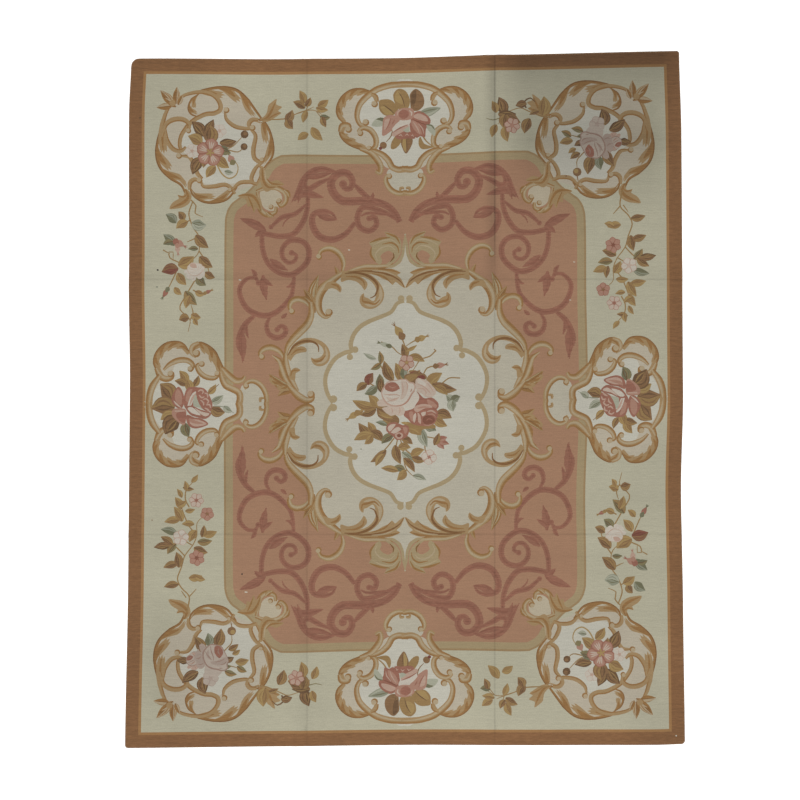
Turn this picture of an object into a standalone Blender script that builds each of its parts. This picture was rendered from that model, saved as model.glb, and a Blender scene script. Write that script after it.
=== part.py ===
"""A flat-woven area rug, opened out on a floor.

One piece of tapestry-woven cloth: a thin sheet with slightly uneven sides, rounded corners, and the
soft lines where it was folded in three both ways. Metres, +Z up, the underside on z = 0. The length
runs along Y, the width along X, and the rug's middle stands over the origin.
"""

import math

import bmesh
import bpy

WIDTH = 2.44
LENGTH = 3.05
THICKNESS = 0.003
RIM_ROUNDING = 0.0011
GRID_STEP = 0.13
CORNER_SEGMENTS = 4

# Each corner stands off the plain rectangle by this much, along X and along Y, and is cut to a round.
CORNERS = {
    "low_left": {"along_x": -0.015, "along_y": -0.012, "round": 0.013},
    "low_right": {"along_x": 0.014, "along_y": 0.006, "round": 0.016},
    "high_left": {"along_x": 0.013, "along_y": -0.022, "round": 0.034},
    "high_right": {"along_x": -0.012, "along_y": 0.012, "round": 0.012},
}

# How far each side bows outwards between its corners: the place along the side, and the bow in metres.
BOWS = {
    "low": [(0.00, 0.0), (0.30, -0.003), (0.49, -0.005), (0.80, 0.001), (0.95, 0.003), (1.00, 0.0)],
    "high": [(0.00, 0.0), (0.31, -0.012), (0.48, -0.014), (0.68, -0.006), (1.00, 0.0)],
    "left": [(0.00, 0.0), (0.25, -0.007), (0.52, -0.007), (0.68, 0.002), (0.92, 0.008), (1.00, 0.0)],
    "right": [(0.00, 0.0), (0.20, -0.003), (0.36, -0.008), (0.51, 0.005), (0.88, 0.007), (1.00, 0.0)],
}

# The fold lines. A trough's line lies on the floor between two low shoulders, and a ridge stands up.
# "place" is where the line crosses the rug, "start" and "end" its height at the low and high end of
# its run, and "reach" its half width.
FOLDS_ALONG_Y = [
    {"place": -0.432, "kind": "trough", "start": 0.0026, "end": 0.0020, "reach": 0.080},
    {"place": 0.395, "kind": "trough", "start": 0.0024, "end": 0.0044, "reach": 0.085},
]
FOLDS_ALONG_X = [
    {"place": -0.594, "kind": "ridge", "start": 0.0026, "end": 0.0022, "reach": 0.075},
    {"place": 0.532, "kind": "ridge", "start": 0.0020, "end": 0.0030, "reach": 0.075},
]
FOLD_GRID_SHARES = (-1.0, -0.6, -0.3, 0.0, 0.3, 0.6, 1.0)

WOOL_BROWN = (0.24, 0.12, 0.055, 1.0)
WOOL_ROUGHNESS = 0.92


def clear_scene():
    for old in list(bpy.data.objects):
        bpy.data.objects.remove(old)


def wool_material(name, colour, roughness):
    material = bpy.data.materials.new(name)
    material.use_nodes = True
    shader = material.node_tree.nodes["Principled BSDF"]
    shader.inputs["Base Color"].default_value = colour
    shader.inputs["Roughness"].default_value = roughness
    shader.inputs["Metallic"].default_value = 0.0
    return material


def eased_between(rows, place):
    """The value at a place, eased between the rows of a table of (place, value)."""
    for (start, first), (end, second) in zip(rows, rows[1:]):
        if place <= end:
            share = (place - start) / (end - start)
            return first + (second - first) * (3 - 2 * share) * share * share
    return rows[-1][1]


def outline_point(across, along):
    """Where the cloth's point at these shares of its width and length lies on the floor."""
    corner_shares = {
        "low_left": (1 - across) * (1 - along),
        "low_right": across * (1 - along),
        "high_left": (1 - across) * along,
        "high_right": across * along,
    }
    x = (across - 0.5) * WIDTH
    y = (along - 0.5) * LENGTH
    for name, share in corner_shares.items():
        x += share * CORNERS[name]["along_x"]
        y += share * CORNERS[name]["along_y"]
    x += across * eased_between(BOWS["right"], along)
    x -= (1 - across) * eased_between(BOWS["left"], along)
    y += along * eased_between(BOWS["high"], across)
    y -= (1 - along) * eased_between(BOWS["low"], across)
    return x, y


def fold_height(fold, distance, run_share):
    """How far the cloth stands off the floor, at this distance from a fold line."""
    away = min(1.0, abs(distance) / fold["reach"])
    height = fold["start"] + (fold["end"] - fold["start"]) * run_share
    if fold["kind"] == "ridge":
        return height * math.cos(away * math.pi / 2) ** 2
    # A sharp valley whose shoulders are highest at a third of the reach, where this product is 4 / 27.
    return height * away * (1 - away) ** 2 * 27 / 4


def floor_gap(x, y):
    """The underside's height over the floor: the highest of the folds that reach this point."""
    heights = [0.0]
    for fold in FOLDS_ALONG_Y:
        heights.append(fold_height(fold, x - fold["place"], y / LENGTH + 0.5))
    for fold in FOLDS_ALONG_X:
        heights.append(fold_height(fold, y - fold["place"], x / WIDTH + 0.5))
    return max(heights)


def grid_lines(length, folds):
    """Grid lines over one side of the rug, even between the folds and close together on them."""
    lines = [-length / 2, length / 2]
    for fold in folds:
        lines += [fold["place"] + share * fold["reach"] for share in FOLD_GRID_SHARES]
    lines.sort()
    filled = []
    for start, end in zip(lines, lines[1:]):
        parts = max(1, round((end - start) / GRID_STEP))
        filled += [start + (end - start) * part / parts for part in range(parts)]
    return filled + [lines[-1]]


def round_corners(mesh):
    """Cuts the four corners of the flat cloth to rounds."""
    for name, corner in CORNERS.items():
        side_x = 1 if "right" in name else -1
        side_y = 1 if "high" in name else -1
        bmesh.ops.bevel(
            mesh,
            geom=[max(mesh.verts, key=lambda vert: vert.co.x * side_x + vert.co.y * side_y)],
            offset=corner["round"],
            offset_type="OFFSET",
            segments=CORNER_SEGMENTS,
            profile=0.5,
            affect="VERTICES",
        )


def centre_on_origin(mesh):
    """Moves the outline so that the middle of its box is over the origin."""
    for axis in (0, 1):
        places = [vert.co[axis] for vert in mesh.verts]
        middle = (min(places) + max(places)) / 2
        for vert in mesh.verts:
            vert.co[axis] -= middle


def cloth_underside():
    """The underside of the cloth as it lies: a grid set to the outline and lifted at the folds."""
    columns = grid_lines(WIDTH, FOLDS_ALONG_Y)
    rows = grid_lines(LENGTH, FOLDS_ALONG_X)
    mesh = bmesh.new()
    bmesh.ops.create_grid(mesh, x_segments=len(columns) - 1, y_segments=len(rows) - 1, size=0.5)
    for vert in mesh.verts:
        x = columns[round((vert.co.x + 0.5) * (len(columns) - 1))]
        y = rows[round((vert.co.y + 0.5) * (len(rows) - 1))]
        vert.co.x, vert.co.y = outline_point(x / WIDTH + 0.5, y / LENGTH + 0.5)
        vert.co.z = floor_gap(x, y)
    round_corners(mesh)
    centre_on_origin(mesh)
    data = bpy.data.meshes.new("rug")
    mesh.to_mesh(data)
    mesh.free()
    return data


def woven_rug(collection):
    """The whole rug: its underside, thickened upwards, with a rounded rim."""
    rug = bpy.data.objects.new("rug", cloth_underside())
    collection.objects.link(rug)
    rug.data.materials.append(wool_material("wool", WOOL_BROWN, WOOL_ROUGHNESS))
    thickness = rug.modifiers.new("thickness", "SOLIDIFY")
    thickness.thickness = THICKNESS
    thickness.offset = 1.0
    rounding = rug.modifiers.new("rim rounding", "BEVEL")
    rounding.width = RIM_ROUNDING
    rounding.segments = 2
    rounding.limit_method = "ANGLE"
    rounding.angle_limit = math.radians(60)
    rug.data.shade_smooth()
    return rug


clear_scene()
rug_collection = bpy.data.collections.new("area rug")
bpy.context.scene.collection.children.link(rug_collection)
woven_rug(rug_collection)
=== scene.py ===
import math
import random

import bmesh
import bpy
import numpy as np
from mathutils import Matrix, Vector, geometry


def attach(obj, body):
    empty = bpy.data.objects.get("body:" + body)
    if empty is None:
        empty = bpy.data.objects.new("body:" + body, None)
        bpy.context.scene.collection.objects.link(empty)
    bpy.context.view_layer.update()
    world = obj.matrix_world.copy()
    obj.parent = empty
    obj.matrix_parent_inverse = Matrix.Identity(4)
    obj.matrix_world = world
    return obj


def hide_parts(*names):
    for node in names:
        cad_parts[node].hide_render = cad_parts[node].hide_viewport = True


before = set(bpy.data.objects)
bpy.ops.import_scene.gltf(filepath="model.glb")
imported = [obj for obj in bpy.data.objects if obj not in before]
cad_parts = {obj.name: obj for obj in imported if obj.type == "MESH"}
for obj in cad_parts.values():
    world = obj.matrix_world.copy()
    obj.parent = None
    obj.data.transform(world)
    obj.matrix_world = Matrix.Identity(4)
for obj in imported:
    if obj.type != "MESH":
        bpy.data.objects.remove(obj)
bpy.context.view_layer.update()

# The cloth. One length of wool tapestry, 2.44 by 3.05 m, woven a little out of square on the loom, so
# its sides bow and its corners wander. These tables say how the even rectangle that the weaver planned
# lies on the floor, and where the cloth was folded in three each way.
WIDTH = 2.44
LENGTH = 3.05
THICKNESS = 0.003
CORNERS = {
    "low_left": (-0.015, -0.012),
    "low_right": (0.014, 0.006),
    "high_left": (0.013, -0.022),
    "high_right": (-0.012, 0.012),
}
CORNER_ROUNDS = {"low_left": 0.013, "low_right": 0.016, "high_left": 0.034, "high_right": 0.012}
BOWS = {
    "low": [(0.00, 0.0), (0.30, -0.003), (0.49, -0.005), (0.80, 0.001), (0.95, 0.003), (1.00, 0.0)],
    "high": [(0.00, 0.0), (0.31, -0.012), (0.48, -0.014), (0.68, -0.006), (1.00, 0.0)],
    "left": [(0.00, 0.0), (0.25, -0.007), (0.52, -0.007), (0.68, 0.002), (0.92, 0.008), (1.00, 0.0)],
    "right": [(0.00, 0.0), (0.20, -0.003), (0.36, -0.008), (0.51, 0.005), (0.88, 0.007), (1.00, 0.0)],
}
# Each fold: its place, whether it is a trough or a ridge, its height at both ends, and its half width.
FOLDS_ALONG_Y = [(-0.432, "trough", 0.0026, 0.0020, 0.080), (0.395, "trough", 0.0024, 0.0044, 0.085)]
FOLDS_ALONG_X = [(-0.594, "ridge", 0.0026, 0.0022, 0.075), (0.532, "ridge", 0.0020, 0.0030, 0.075)]


def eased_between(rows, places):
    """The values at these places, eased between the rows of a table of (place, value)."""
    values = np.zeros_like(places)
    for (start, first), (end, second) in zip(rows, rows[1:]):
        share = np.clip((places - start) / (end - start), 0, 1)
        values += (second - first) * (3 - 2 * share) * share * share
    return values + rows[0][1]


def spread_on_floor(even):
    """Where points of the even rectangle, in metres from its middle, lie on the floor."""
    across = even[:, 0] / WIDTH + 0.5
    along = even[:, 1] / LENGTH + 0.5
    shares = {
        "low_left": (1 - across) * (1 - along),
        "low_right": across * (1 - along),
        "high_left": (1 - across) * along,
        "high_right": across * along,
    }
    spread = even.copy()
    for name, share in shares.items():
        spread += share[:, None] * np.array(CORNERS[name])
    spread[:, 0] += across * eased_between(BOWS["right"], along)
    spread[:, 0] -= (1 - across) * eased_between(BOWS["left"], along)
    spread[:, 1] += along * eased_between(BOWS["high"], across)
    spread[:, 1] -= (1 - along) * eased_between(BOWS["low"], across)
    return spread


# The drawing. The weaver works from a full size drawing of one quarter and of the flowers. Its squares
# are 4.41 mm wide and are counted from its top left corner, across and then down. What is drawn as it
# lies is first drawn back to the even rectangle, and then repeated there by mirroring and turning.
SQUARE = 0.00441
DRAWING_MIDDLE = np.array((405.0, 399.5))
PATTERN_MIDDLE = np.array((406.0, 402.5))
BORDER = 0.069


def to_even(squares):
    """Points of the drawing as places in the even rectangle, in metres from its middle."""
    laid = (np.array(squares, float).reshape(-1, 2) - DRAWING_MIDDLE) * (SQUARE, -SQUARE)
    even = laid.copy()
    for _ in range(4):
        even += laid - spread_on_floor(even)
    return even


MIDDLE = to_even(PATTERN_MIDDLE)[0]


def from_middle(squares):
    """Points of the drawing, counted in squares from the pattern's middle, right and up."""
    return (to_even(squares) - MIDDLE) / SQUARE


# The yarns. Hand dyed wool in faded earth shades. Each name is one dye lot, given as the shade that
# the eye sees, and the weave, dirt and light come on top of it in the material.
YARNS = {
    "border brown": (127, 91, 60),
    "border ochre": (150, 113, 73),
    "cream ground": (171, 167, 146),
    "band khaki": (153, 136, 104),
    "band ochre": (146, 122, 88),
    "terracotta": (155, 119, 94),
    "faded red": (138, 95, 77),
    "deep red": (132, 88, 71),
    "beige ground": (173, 167, 150),
    "ivory ground": (183, 180, 167),
    "rosy cream": (174, 165, 147),
    "panel straw": (156, 139, 107),
    "scroll brown": (120, 86, 52),
    "scroll ochre": (139, 104, 63),
    "scroll tan": (152, 126, 90),
    "scroll straw": (164, 147, 119),
    "scroll pale": (174, 163, 141),
    "leaf umber": (101, 77, 54),
    "leaf brown": (124, 95, 66),
    "leaf ochre": (140, 113, 74),
    "leaf gold": (153, 128, 84),
    "leaf olive": (122, 112, 80),
    "leaf green": (106, 104, 80),
    "leaf grey": (133, 134, 116),
    "leaf mist": (156, 156, 138),
    "rose shadow": (120, 78, 62),
    "rose deep": (142, 97, 81),
    "rose mid": (158, 121, 104),
    "rose light": (171, 144, 128),
    "rose pale": (179, 162, 147),
    "rose white": (185, 176, 163),
    "mauve mid": (146, 121, 108),
    "mauve light": (160, 143, 131),
    "mauve pale": (171, 158, 145),
    "bud red": (110, 64, 54),
    "spot black": (52, 44, 40),
    "thread white": (190, 186, 172),
}


def smoothed(points, step, closed=False):
    """A smooth line through the points, with a point about every step."""
    knots = np.array(points, float).reshape(-1, 2)
    if closed:
        before, after = knots[-1:], knots[:2]
    else:
        before, after = 2 * knots[:1] - knots[1:2], 2 * knots[-1:] - knots[-2:-1]
    padded = np.vstack([before, knots, after])
    spans = len(knots) if closed else len(knots) - 1
    line = []
    for i in range(spans):
        a, b, c, d = padded[i:i + 4]
        count = max(1, int(round(np.linalg.norm(c - b) / step)))
        t = (np.arange(count) / count)[:, None]
        part = 2 * b + (c - a) * t + (2 * a - 5 * b + 4 * c - d) * t ** 2
        line.append((part + (3 * b - a - 3 * c + d) * t ** 3) / 2)
    if not closed:
        line.append(knots[-1:])
    return np.vstack(line)


def sideways(line):
    """For each point of a line, its share of the way along, and the direction to its left."""
    steps = np.gradient(line, axis=0)
    lengths = np.linalg.norm(steps, axis=1)[:, None]
    steps = steps / np.maximum(lengths, 1e-9)
    runs = np.concatenate([[0], np.cumsum(np.linalg.norm(np.diff(line, axis=0), axis=1))])
    return runs / runs[-1], np.column_stack([-steps[:, 1], steps[:, 0]])


def swelling(shares, start, end, swell):
    """How wide a stroke is along its run: start and end are shares of its width at the swell."""
    rise = np.sin(np.clip(shares / swell, 0, 1) * math.pi / 2)
    fall = np.sin(np.clip((1 - shares) / (1 - swell), 0, 1) * math.pi / 2)
    return np.where(shares < swell, start + (1 - start) * rise, end + (1 - end) * fall)


def ribbon(points, width, yarn, start=0.4, end=0.0, swell=0.5, shift=0.0, step=1.7, closed=False):
    """A stroke of one yarn that follows the points. shift moves it to the line's left, in widths."""
    line = smoothed(points, step, closed)
    shares, left = sideways(line)
    half = width / 2 * (np.ones(len(line)) if closed else swelling(shares, start, end, swell))
    centre = line + left * (shift * width * np.minimum(1, half * 2 / width))[:, None]
    return [(np.vstack([centre + left * half[:, None], (centre - left * half[:, None])[::-1]]), yarn)]


def disc(centre, radius, yarn, squash=1.0, turn=0.0, corners=10):
    """A round or oval spot of one yarn."""
    angles = np.arange(corners) / corners * 2 * math.pi
    x, y = radius * np.cos(angles), radius * squash * np.sin(angles)
    cos, sin = math.cos(turn), math.sin(turn)
    return [(np.column_stack([x * cos - y * sin, x * sin + y * cos]) + np.array(centre, float), yarn)]


def patch(points, yarn, step=3.0):
    """A ground of one yarn inside a smooth closed line."""
    return [(smoothed(points, step, closed=True), yarn)]


def gilt(points, width, start=0.45, end=0.3, light=1, swell=0.5):
    """A gold scroll: an ochre stroke that lightens to tan, and to straw on its lit side."""
    width = width * 1.18
    shapes = ribbon(points, width, "scroll ochre", start, end, swell)
    shapes += ribbon(points, width * 0.68, "scroll tan", start, end, swell, shift=0.22 * light)
    if width > 5.2:
        shapes += ribbon(points, width * 0.34, "scroll straw", 0.3, 0.1, swell, shift=0.46 * light, step=2.6)
    return shapes


def curl_end(centre, radius, light=1):
    """The round end of a scroll: a straw ball with an ochre shadow round its lower side."""
    shapes = disc(centre, radius, "scroll ochre")
    return shapes + disc(np.array(centre) + (-0.2 * radius, -0.24 * radius), radius * 0.78, "scroll straw", corners=9)


# One feather of acanthus from its root to its ragged tip and back: the share of the gap to the next
# feather, and how far it reaches from the spine. The second outline is its darker root.
FEATHER = [(-0.04, 0.04), (0.22, 0.34), (0.5, 0.72), (0.84, 0.94), (1.22, 0.92), (1.08, 0.78), (1.3, 0.66), (1.12, 0.54),
           (1.26, 0.4), (0.9, 0.3), (0.6, 0.1)]
FEATHER_ROOT = [(0.0, 0.04), (0.32, 0.36), (0.58, 0.56), (0.94, 0.6), (0.76, 0.36), (0.48, 0.09)]


def acanthus(points, width, feathers, light=1, swell=0.45, end=0.12, body_share=0.0):
    """A scrolled leaf: a slim spine, and feathers that leave it on its lit side and lean forwards."""
    line = smoothed(points, 1.3)
    shares, left = sideways(line)
    body = swelling(shares, 0.55, max(end, 0.45), swell)
    gap = 0.84 / feathers

    def beside(share, reach):
        """A place beside the spine, by the share of the way along it and the reach in widths."""
        place = min(max(share, 0), 1) * (len(line) - 1)
        low = int(min(place, len(line) - 2))
        spot = line[low] + (line[low + 1] - line[low]) * (place - low)
        return spot + left[low] * light * width * 0.88 * reach * body[low]

    shapes = []
    if body_share:
        shapes += ribbon(points, width * body_share, "scroll tan", 0.5, 0.5, swell, shift=0.55 * light, step=2.0)
    for number in range(feathers):
        root = 0.02 + 0.82 * number / feathers
        for outline, yarn in ((FEATHER, "scroll tan"), (FEATHER_ROOT, "scroll ochre")):
            places = [beside(root + gap * along, reach) for along, reach in outline]
            shapes.append((smoothed(places, 2.0, closed=True), yarn))
    shapes += ribbon(points, width * 0.25, "scroll ochre", 0.5, 0.6, swell, step=1.8)
    return shapes + ribbon(points, width * 0.08, "scroll brown", 0.5, 0.2, swell, shift=-0.9 * light, step=2.4)


def leaf(base, tip, width, yarns=("leaf brown", "leaf gold", "leaf ochre"), bend=0.0, teeth=0):
    """A leaf from base to tip: a dark blade, its lit half, and a midrib."""
    base, tip = np.array(base, float), np.array(tip, float)
    run = tip - base
    left = np.array((-run[1], run[0])) / np.linalg.norm(run)
    line = smoothed([base, base + run * 0.5 + left * bend * width, tip], np.linalg.norm(run) / 7)
    shares, sides = sideways(line)
    half = width / 2 * np.sin(np.clip(shares, 0.02, 0.985) ** 0.8 * math.pi) ** 0.85
    if teeth:
        half = half * (0.78 + 0.3 * np.abs(np.sin(shares * teeth * math.pi)))
    dark, lit, rib = yarns
    shapes = [(np.vstack([line + sides * half[:, None], (line - sides * half[:, None])[::-1]]), dark)]
    shapes.append((np.vstack([line + sides * (half * 0.86)[:, None], line[::-1]]), lit))
    if width > 4.5:
        shapes += ribbon([base, line[len(line) // 2], base + run * 0.85], 0.8, rib, 1.0, 0.4, step=4.0)
    if width > 7:
        for yarn, side in ((dark, 2.3), (rib, -2.3)):
            shapes += ribbon([line[1], line[len(line) // 2], line[-2]], width * 0.11, yarn, 0.2, 0.1, 0.5, side, step=3.5)
    return shapes


def petals(centre, inner, outer, width, count, turn, yarns):
    """A ring of petals, narrow at the heart and round at the tip: dark, then lit, then a pale lip."""
    shapes = []
    for i in range(count):
        angle = turn + i / count * 2 * math.pi
        out = np.array((math.cos(angle), math.sin(angle)))
        left = np.array((-out[1], out[0]))
        for yarn, share, back in ((yarns[0], 1.0, 0.0), (yarns[1], 0.78, 0.14)):
            places = np.linspace(0.04, 0.99, 6)
            half = width / 2 * share * np.sin(places ** 1.5 * math.pi) ** 0.6
            run = (inner + (outer - inner) * (back + (1 - back * 1.4) * places))[:, None] * out + centre
            shapes.append((np.vstack([run + half[:, None] * left, (run - half[:, None] * left)[::-1]]), yarn))
    return shapes


def fold_of_petal(centre, radius, angle, span, depth, yarn):
    """One curled petal of a rose: a crescent round the centre, thickest at its middle."""
    turns = np.linspace(-span / 2, span / 2, 8)
    outer = np.column_stack([np.cos(angle + turns), np.sin(angle + turns)]) * radius
    inner = np.column_stack([np.cos(angle + turns), np.sin(angle + turns)])
    inner *= (radius - depth * np.cos(turns / span * math.pi) ** 0.7)[:, None]
    return [(np.vstack([outer, inner[::-1]]) + centre, yarn)]


def painted(patches, lines, step=2.2):
    """Plain patches, and then thin strokes over them."""
    shapes = [shape for yarn, outline in patches for shape in patch(outline, yarn, step)]
    for yarn, width, line in lines:
        shapes += ribbon(line, width, yarn, 0.35, 0.25, 0.5, step=step)
    return shapes


# The full rose as it is drawn in the middle, 38 squares across: outer petals, the cup, its heart and
# front lip, and the lines between the petals. Yarns: 0 line, 1 petal, 2 shade, 3 light, 4 heart.
ROSE_SQUARES = 19
ROSE_CENTRE = np.array((398.5, 397.0))
ROSE_PATCHES = [
    (1, [(382, 408), (387.4, 406.6), (394, 404.6), (400, 405), (404, 408), (404.9, 411.8), (402.8, 414.9), (398.9, 416),
         (395, 414.8), (391.3, 415.9), (387.2, 413.9), (384, 411)]),
    (1, [(380.2, 399.2), (383, 399), (388, 402), (392, 405), (384.6, 406.5), (377.8, 405.8), (376.8, 402.4)]),
    (3, [(414, 389), (418.6, 394.8), (419, 399), (417.2, 402.4), (415.4, 405), (414.2, 407.6), (410.4, 409.6), (406.4, 408.2),
         (401, 405), (406, 400), (410, 394)]),
    (2, [(395, 380), (400, 379), (406.2, 379), (409.6, 381.8), (413.4, 382.4), (415.5, 385.4), (415, 390), (411.8, 394.4),
         (409.8, 398.8), (406, 403.6), (401, 406), (393.2, 406.6), (386.6, 404.2), (382.7, 399.2), (381.2, 395), (381.2, 391),
         (383.8, 386), (387, 381.8), (391.4, 380.6)]),
    (3, [(395.4, 381), (400, 380), (405.8, 380.2), (409, 383), (412.8, 383.6), (414.3, 386), (413.6, 389.8), (410.6, 393.6),
         (408.4, 398), (404.8, 402.4), (400.6, 404.6), (393.4, 405), (387.6, 402.8), (384, 398.4), (382.4, 395), (382.4, 391.4),
         (385, 386.6), (387.8, 382.8), (391.6, 381.6)]),
    (1, [(401, 380.6), (405, 381), (408, 386), (407, 393), (403, 399), (400, 399.6), (401.6, 392), (401, 386)]),
    (4, [(384.6, 387.4), (386.5, 384.1), (390.3, 382.2), (395.1, 382.4), (398.4, 385.5), (399.6, 388.9), (396.5, 391.4),
         (392.2, 392.2), (387.9, 391.6), (385.3, 389.8)]),
    (3, [(382.6, 391), (385.5, 389.8), (388, 391), (392.2, 391.8), (396.5, 390.6), (399.8, 389), (400.6, 395.6), (395.4, 394.4),
         (389.4, 394.6), (383.8, 394.8)]),
    (1, [(386, 396.8), (392, 398.4), (398.6, 397.2), (396, 400.6), (390, 401.4)]),
]
ROSE_LINES = [
    (0, 1.3, [(414.7, 390.8), (411.8, 394.1), (409.4, 398.4), (406.6, 402.3), (401.8, 405.1), (395.6, 406.4)]),
    (2, 1.3, [(383.1, 393.9), (389.4, 394.9), (396.1, 394.5), (400.4, 396)]), (2, 1.2, [(387, 401.6), (394, 399.6), (399.4, 397)]),
    (2, 1.3, [(405.6, 381.2), (407.6, 385.4), (406.8, 390)]), (0, 1.3, [(411.8, 388.6), (410.4, 392.2)]),
    (2, 1.2, [(402.2, 383), (403, 389), (402, 395)]), (0, 1.2, [(388.4, 385.6), (392, 387.6), (396.4, 386.6)]),
    (2, 1.3, [(391, 407.6), (392.6, 411), (391.6, 414)]), (2, 1.2, [(399.2, 407), (400, 411), (398.4, 414)]),
]


def rose(centre, radius, turn=0.0, yarns=("rose mid", "rose pale", "rose light", "rose white"), heart="rose deep"):
    """The full rose at another place, size and turn, in other shades."""
    shades = tuple(yarns) + (heart,)
    cos, sin = math.cos(turn) * radius / ROSE_SQUARES, math.sin(turn) * radius / ROSE_SQUARES
    turned = np.array(((cos, sin), (-sin, cos)))
    shapes = painted(ROSE_PATCHES, ROSE_LINES, 2.4)
    return [((polygon - ROSE_CENTRE) @ turned + centre, shades[number]) for polygon, number in shapes]


def blossom(centre, radius, count, turn=0.0, yarns=("rose deep", "rose light"), heart="leaf gold", streak=None):
    """An open flower: a ring of petals round a small star, with pale streaks on the larger ones."""
    centre = np.array(centre, float)
    shapes = petals(centre, 0.0, radius * 1.1, radius * 5.2 / count, count, turn, yarns)
    if streak:
        for side in (-0.22, 0.0, 0.22):
            shapes += petals(centre, radius * 0.2, radius * 0.86, radius * 0.1, count, turn + side, (streak, streak))
    shapes += petals(centre, 0.0, radius * 0.34, radius * 0.22, count, turn + 0.3, (yarns[0], heart))
    return shapes + disc(centre, radius * 0.14, heart, corners=7)


def bud(base, tip, width, yarns=("leaf olive", "rose deep")):
    """A bud: a coloured drop that stands in a small green cup."""
    base, tip = np.array(base, float), np.array(tip, float)
    shapes = []
    for turn in (-0.5, 0.0, 0.45):
        cos, sin = math.cos(turn), math.sin(turn)
        hair = (tip - base) @ np.array(((cos, sin), (-sin, cos))) * 0.28
        shapes += ribbon([tip - hair * 0.7, tip + hair * 0.3, tip + hair], 1.1, yarns[0], 1.0, 0.3, step=3.0)
    shapes += leaf(base + (tip - base) * 0.25, tip, width, (yarns[1], yarns[1], yarns[1]))[:1]
    return shapes + leaf(base, base + (tip - base) * 0.55, width * 0.95, (yarns[0], yarns[0], yarns[0]))[:1]


def stem(points, width=1.3, yarn="leaf ochre"):
    """A thin stalk."""
    return ribbon(points, width, yarn, 1.0, 0.45, 0.3, step=3.0)


woven = []


def moved(shapes, flip_x=1, flip_y=1):
    """The same shapes, mirrored left to right, top to bottom, or both."""
    return [(polygon * (flip_x, flip_y), yarn) for polygon, yarn in shapes]


def drawn(shapes):
    """Shapes of the drawing, as places from the pattern's middle."""
    return [(from_middle(polygon), yarn) for polygon, yarn in shapes]


def weave_four_times(shapes):
    """Weaves a quarter's shapes and their three mirror images."""
    placed = drawn(shapes)
    for flip_x, flip_y in ((1, 1), (-1, 1), (1, -1), (-1, -1)):
        woven.extend(moved(placed, flip_x, flip_y))


def weave_and_turn(shapes):
    """Weaves the shapes, and again with the drawing turned upside down."""
    placed = drawn(shapes)
    woven.extend(placed)
    woven.extend(moved(placed, -1, -1))


# The grounds. A plain brown border with an ochre line inside it, a cream ground, and the terracotta
# field in its khaki band, which is cut back at its corners for the cartouches.
half_width, half_length = WIDTH / 2 / SQUARE, LENGTH / 2 / SQUARE
middle_squares = MIDDLE / SQUARE


def even_rectangle(inset):
    """The border's rectangle, inset in metres, from the pattern's middle, with points along its sides."""
    x, y = half_width - inset / SQUARE, half_length - inset / SQUARE
    corners = [(-x, -y), (x, -y), (x, y), (-x, y)]
    sides = [np.linspace(start, end, 60, endpoint=False) for start, end in zip(corners, corners[1:] + corners[:1])]
    return np.vstack(sides) - middle_squares


woven.append((even_rectangle(BORDER - 0.012), "border ochre"))
woven.append((even_rectangle(BORDER), "cream ground"))

FIELD_QUARTER = [(406, 155), (345, 155), (290, 154.6), (278, 156.5), (267, 164), (259, 177), (250, 189), (240, 197),
                 (231, 204), (226, 214), (224.5, 230), (224.3, 300), (224.3, 402.5)]
field_line = smoothed(FIELD_QUARTER, 3.0)
field_even = from_middle(field_line)
field_even[0, 0] = 0.0
field_even[-1, 1] = 0.0
field_ring = np.vstack([field_even, (field_even * (1, -1))[::-1][1:], (field_even * (-1, -1))[1:],
                        (field_even * (-1, 1))[::-1][1:-1]])


def inset_ring(ring, depth):
    """A closed line moved inwards by depth squares."""
    steps = np.roll(ring, -1, axis=0) - np.roll(ring, 1, axis=0)
    steps /= np.linalg.norm(steps, axis=1)[:, None]
    inner = ring + np.column_stack([-steps[:, 1], steps[:, 0]]) * depth
    if np.ptp(inner[:, 0]) < np.ptp(ring[:, 0]):
        return inner
    return 2 * ring - inner


woven.append((field_ring, "band ochre"))
woven.append((inset_ring(field_ring, 2.0), "band khaki"))
woven.append((inset_ring(field_ring, 9.0), "terracotta"))

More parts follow.
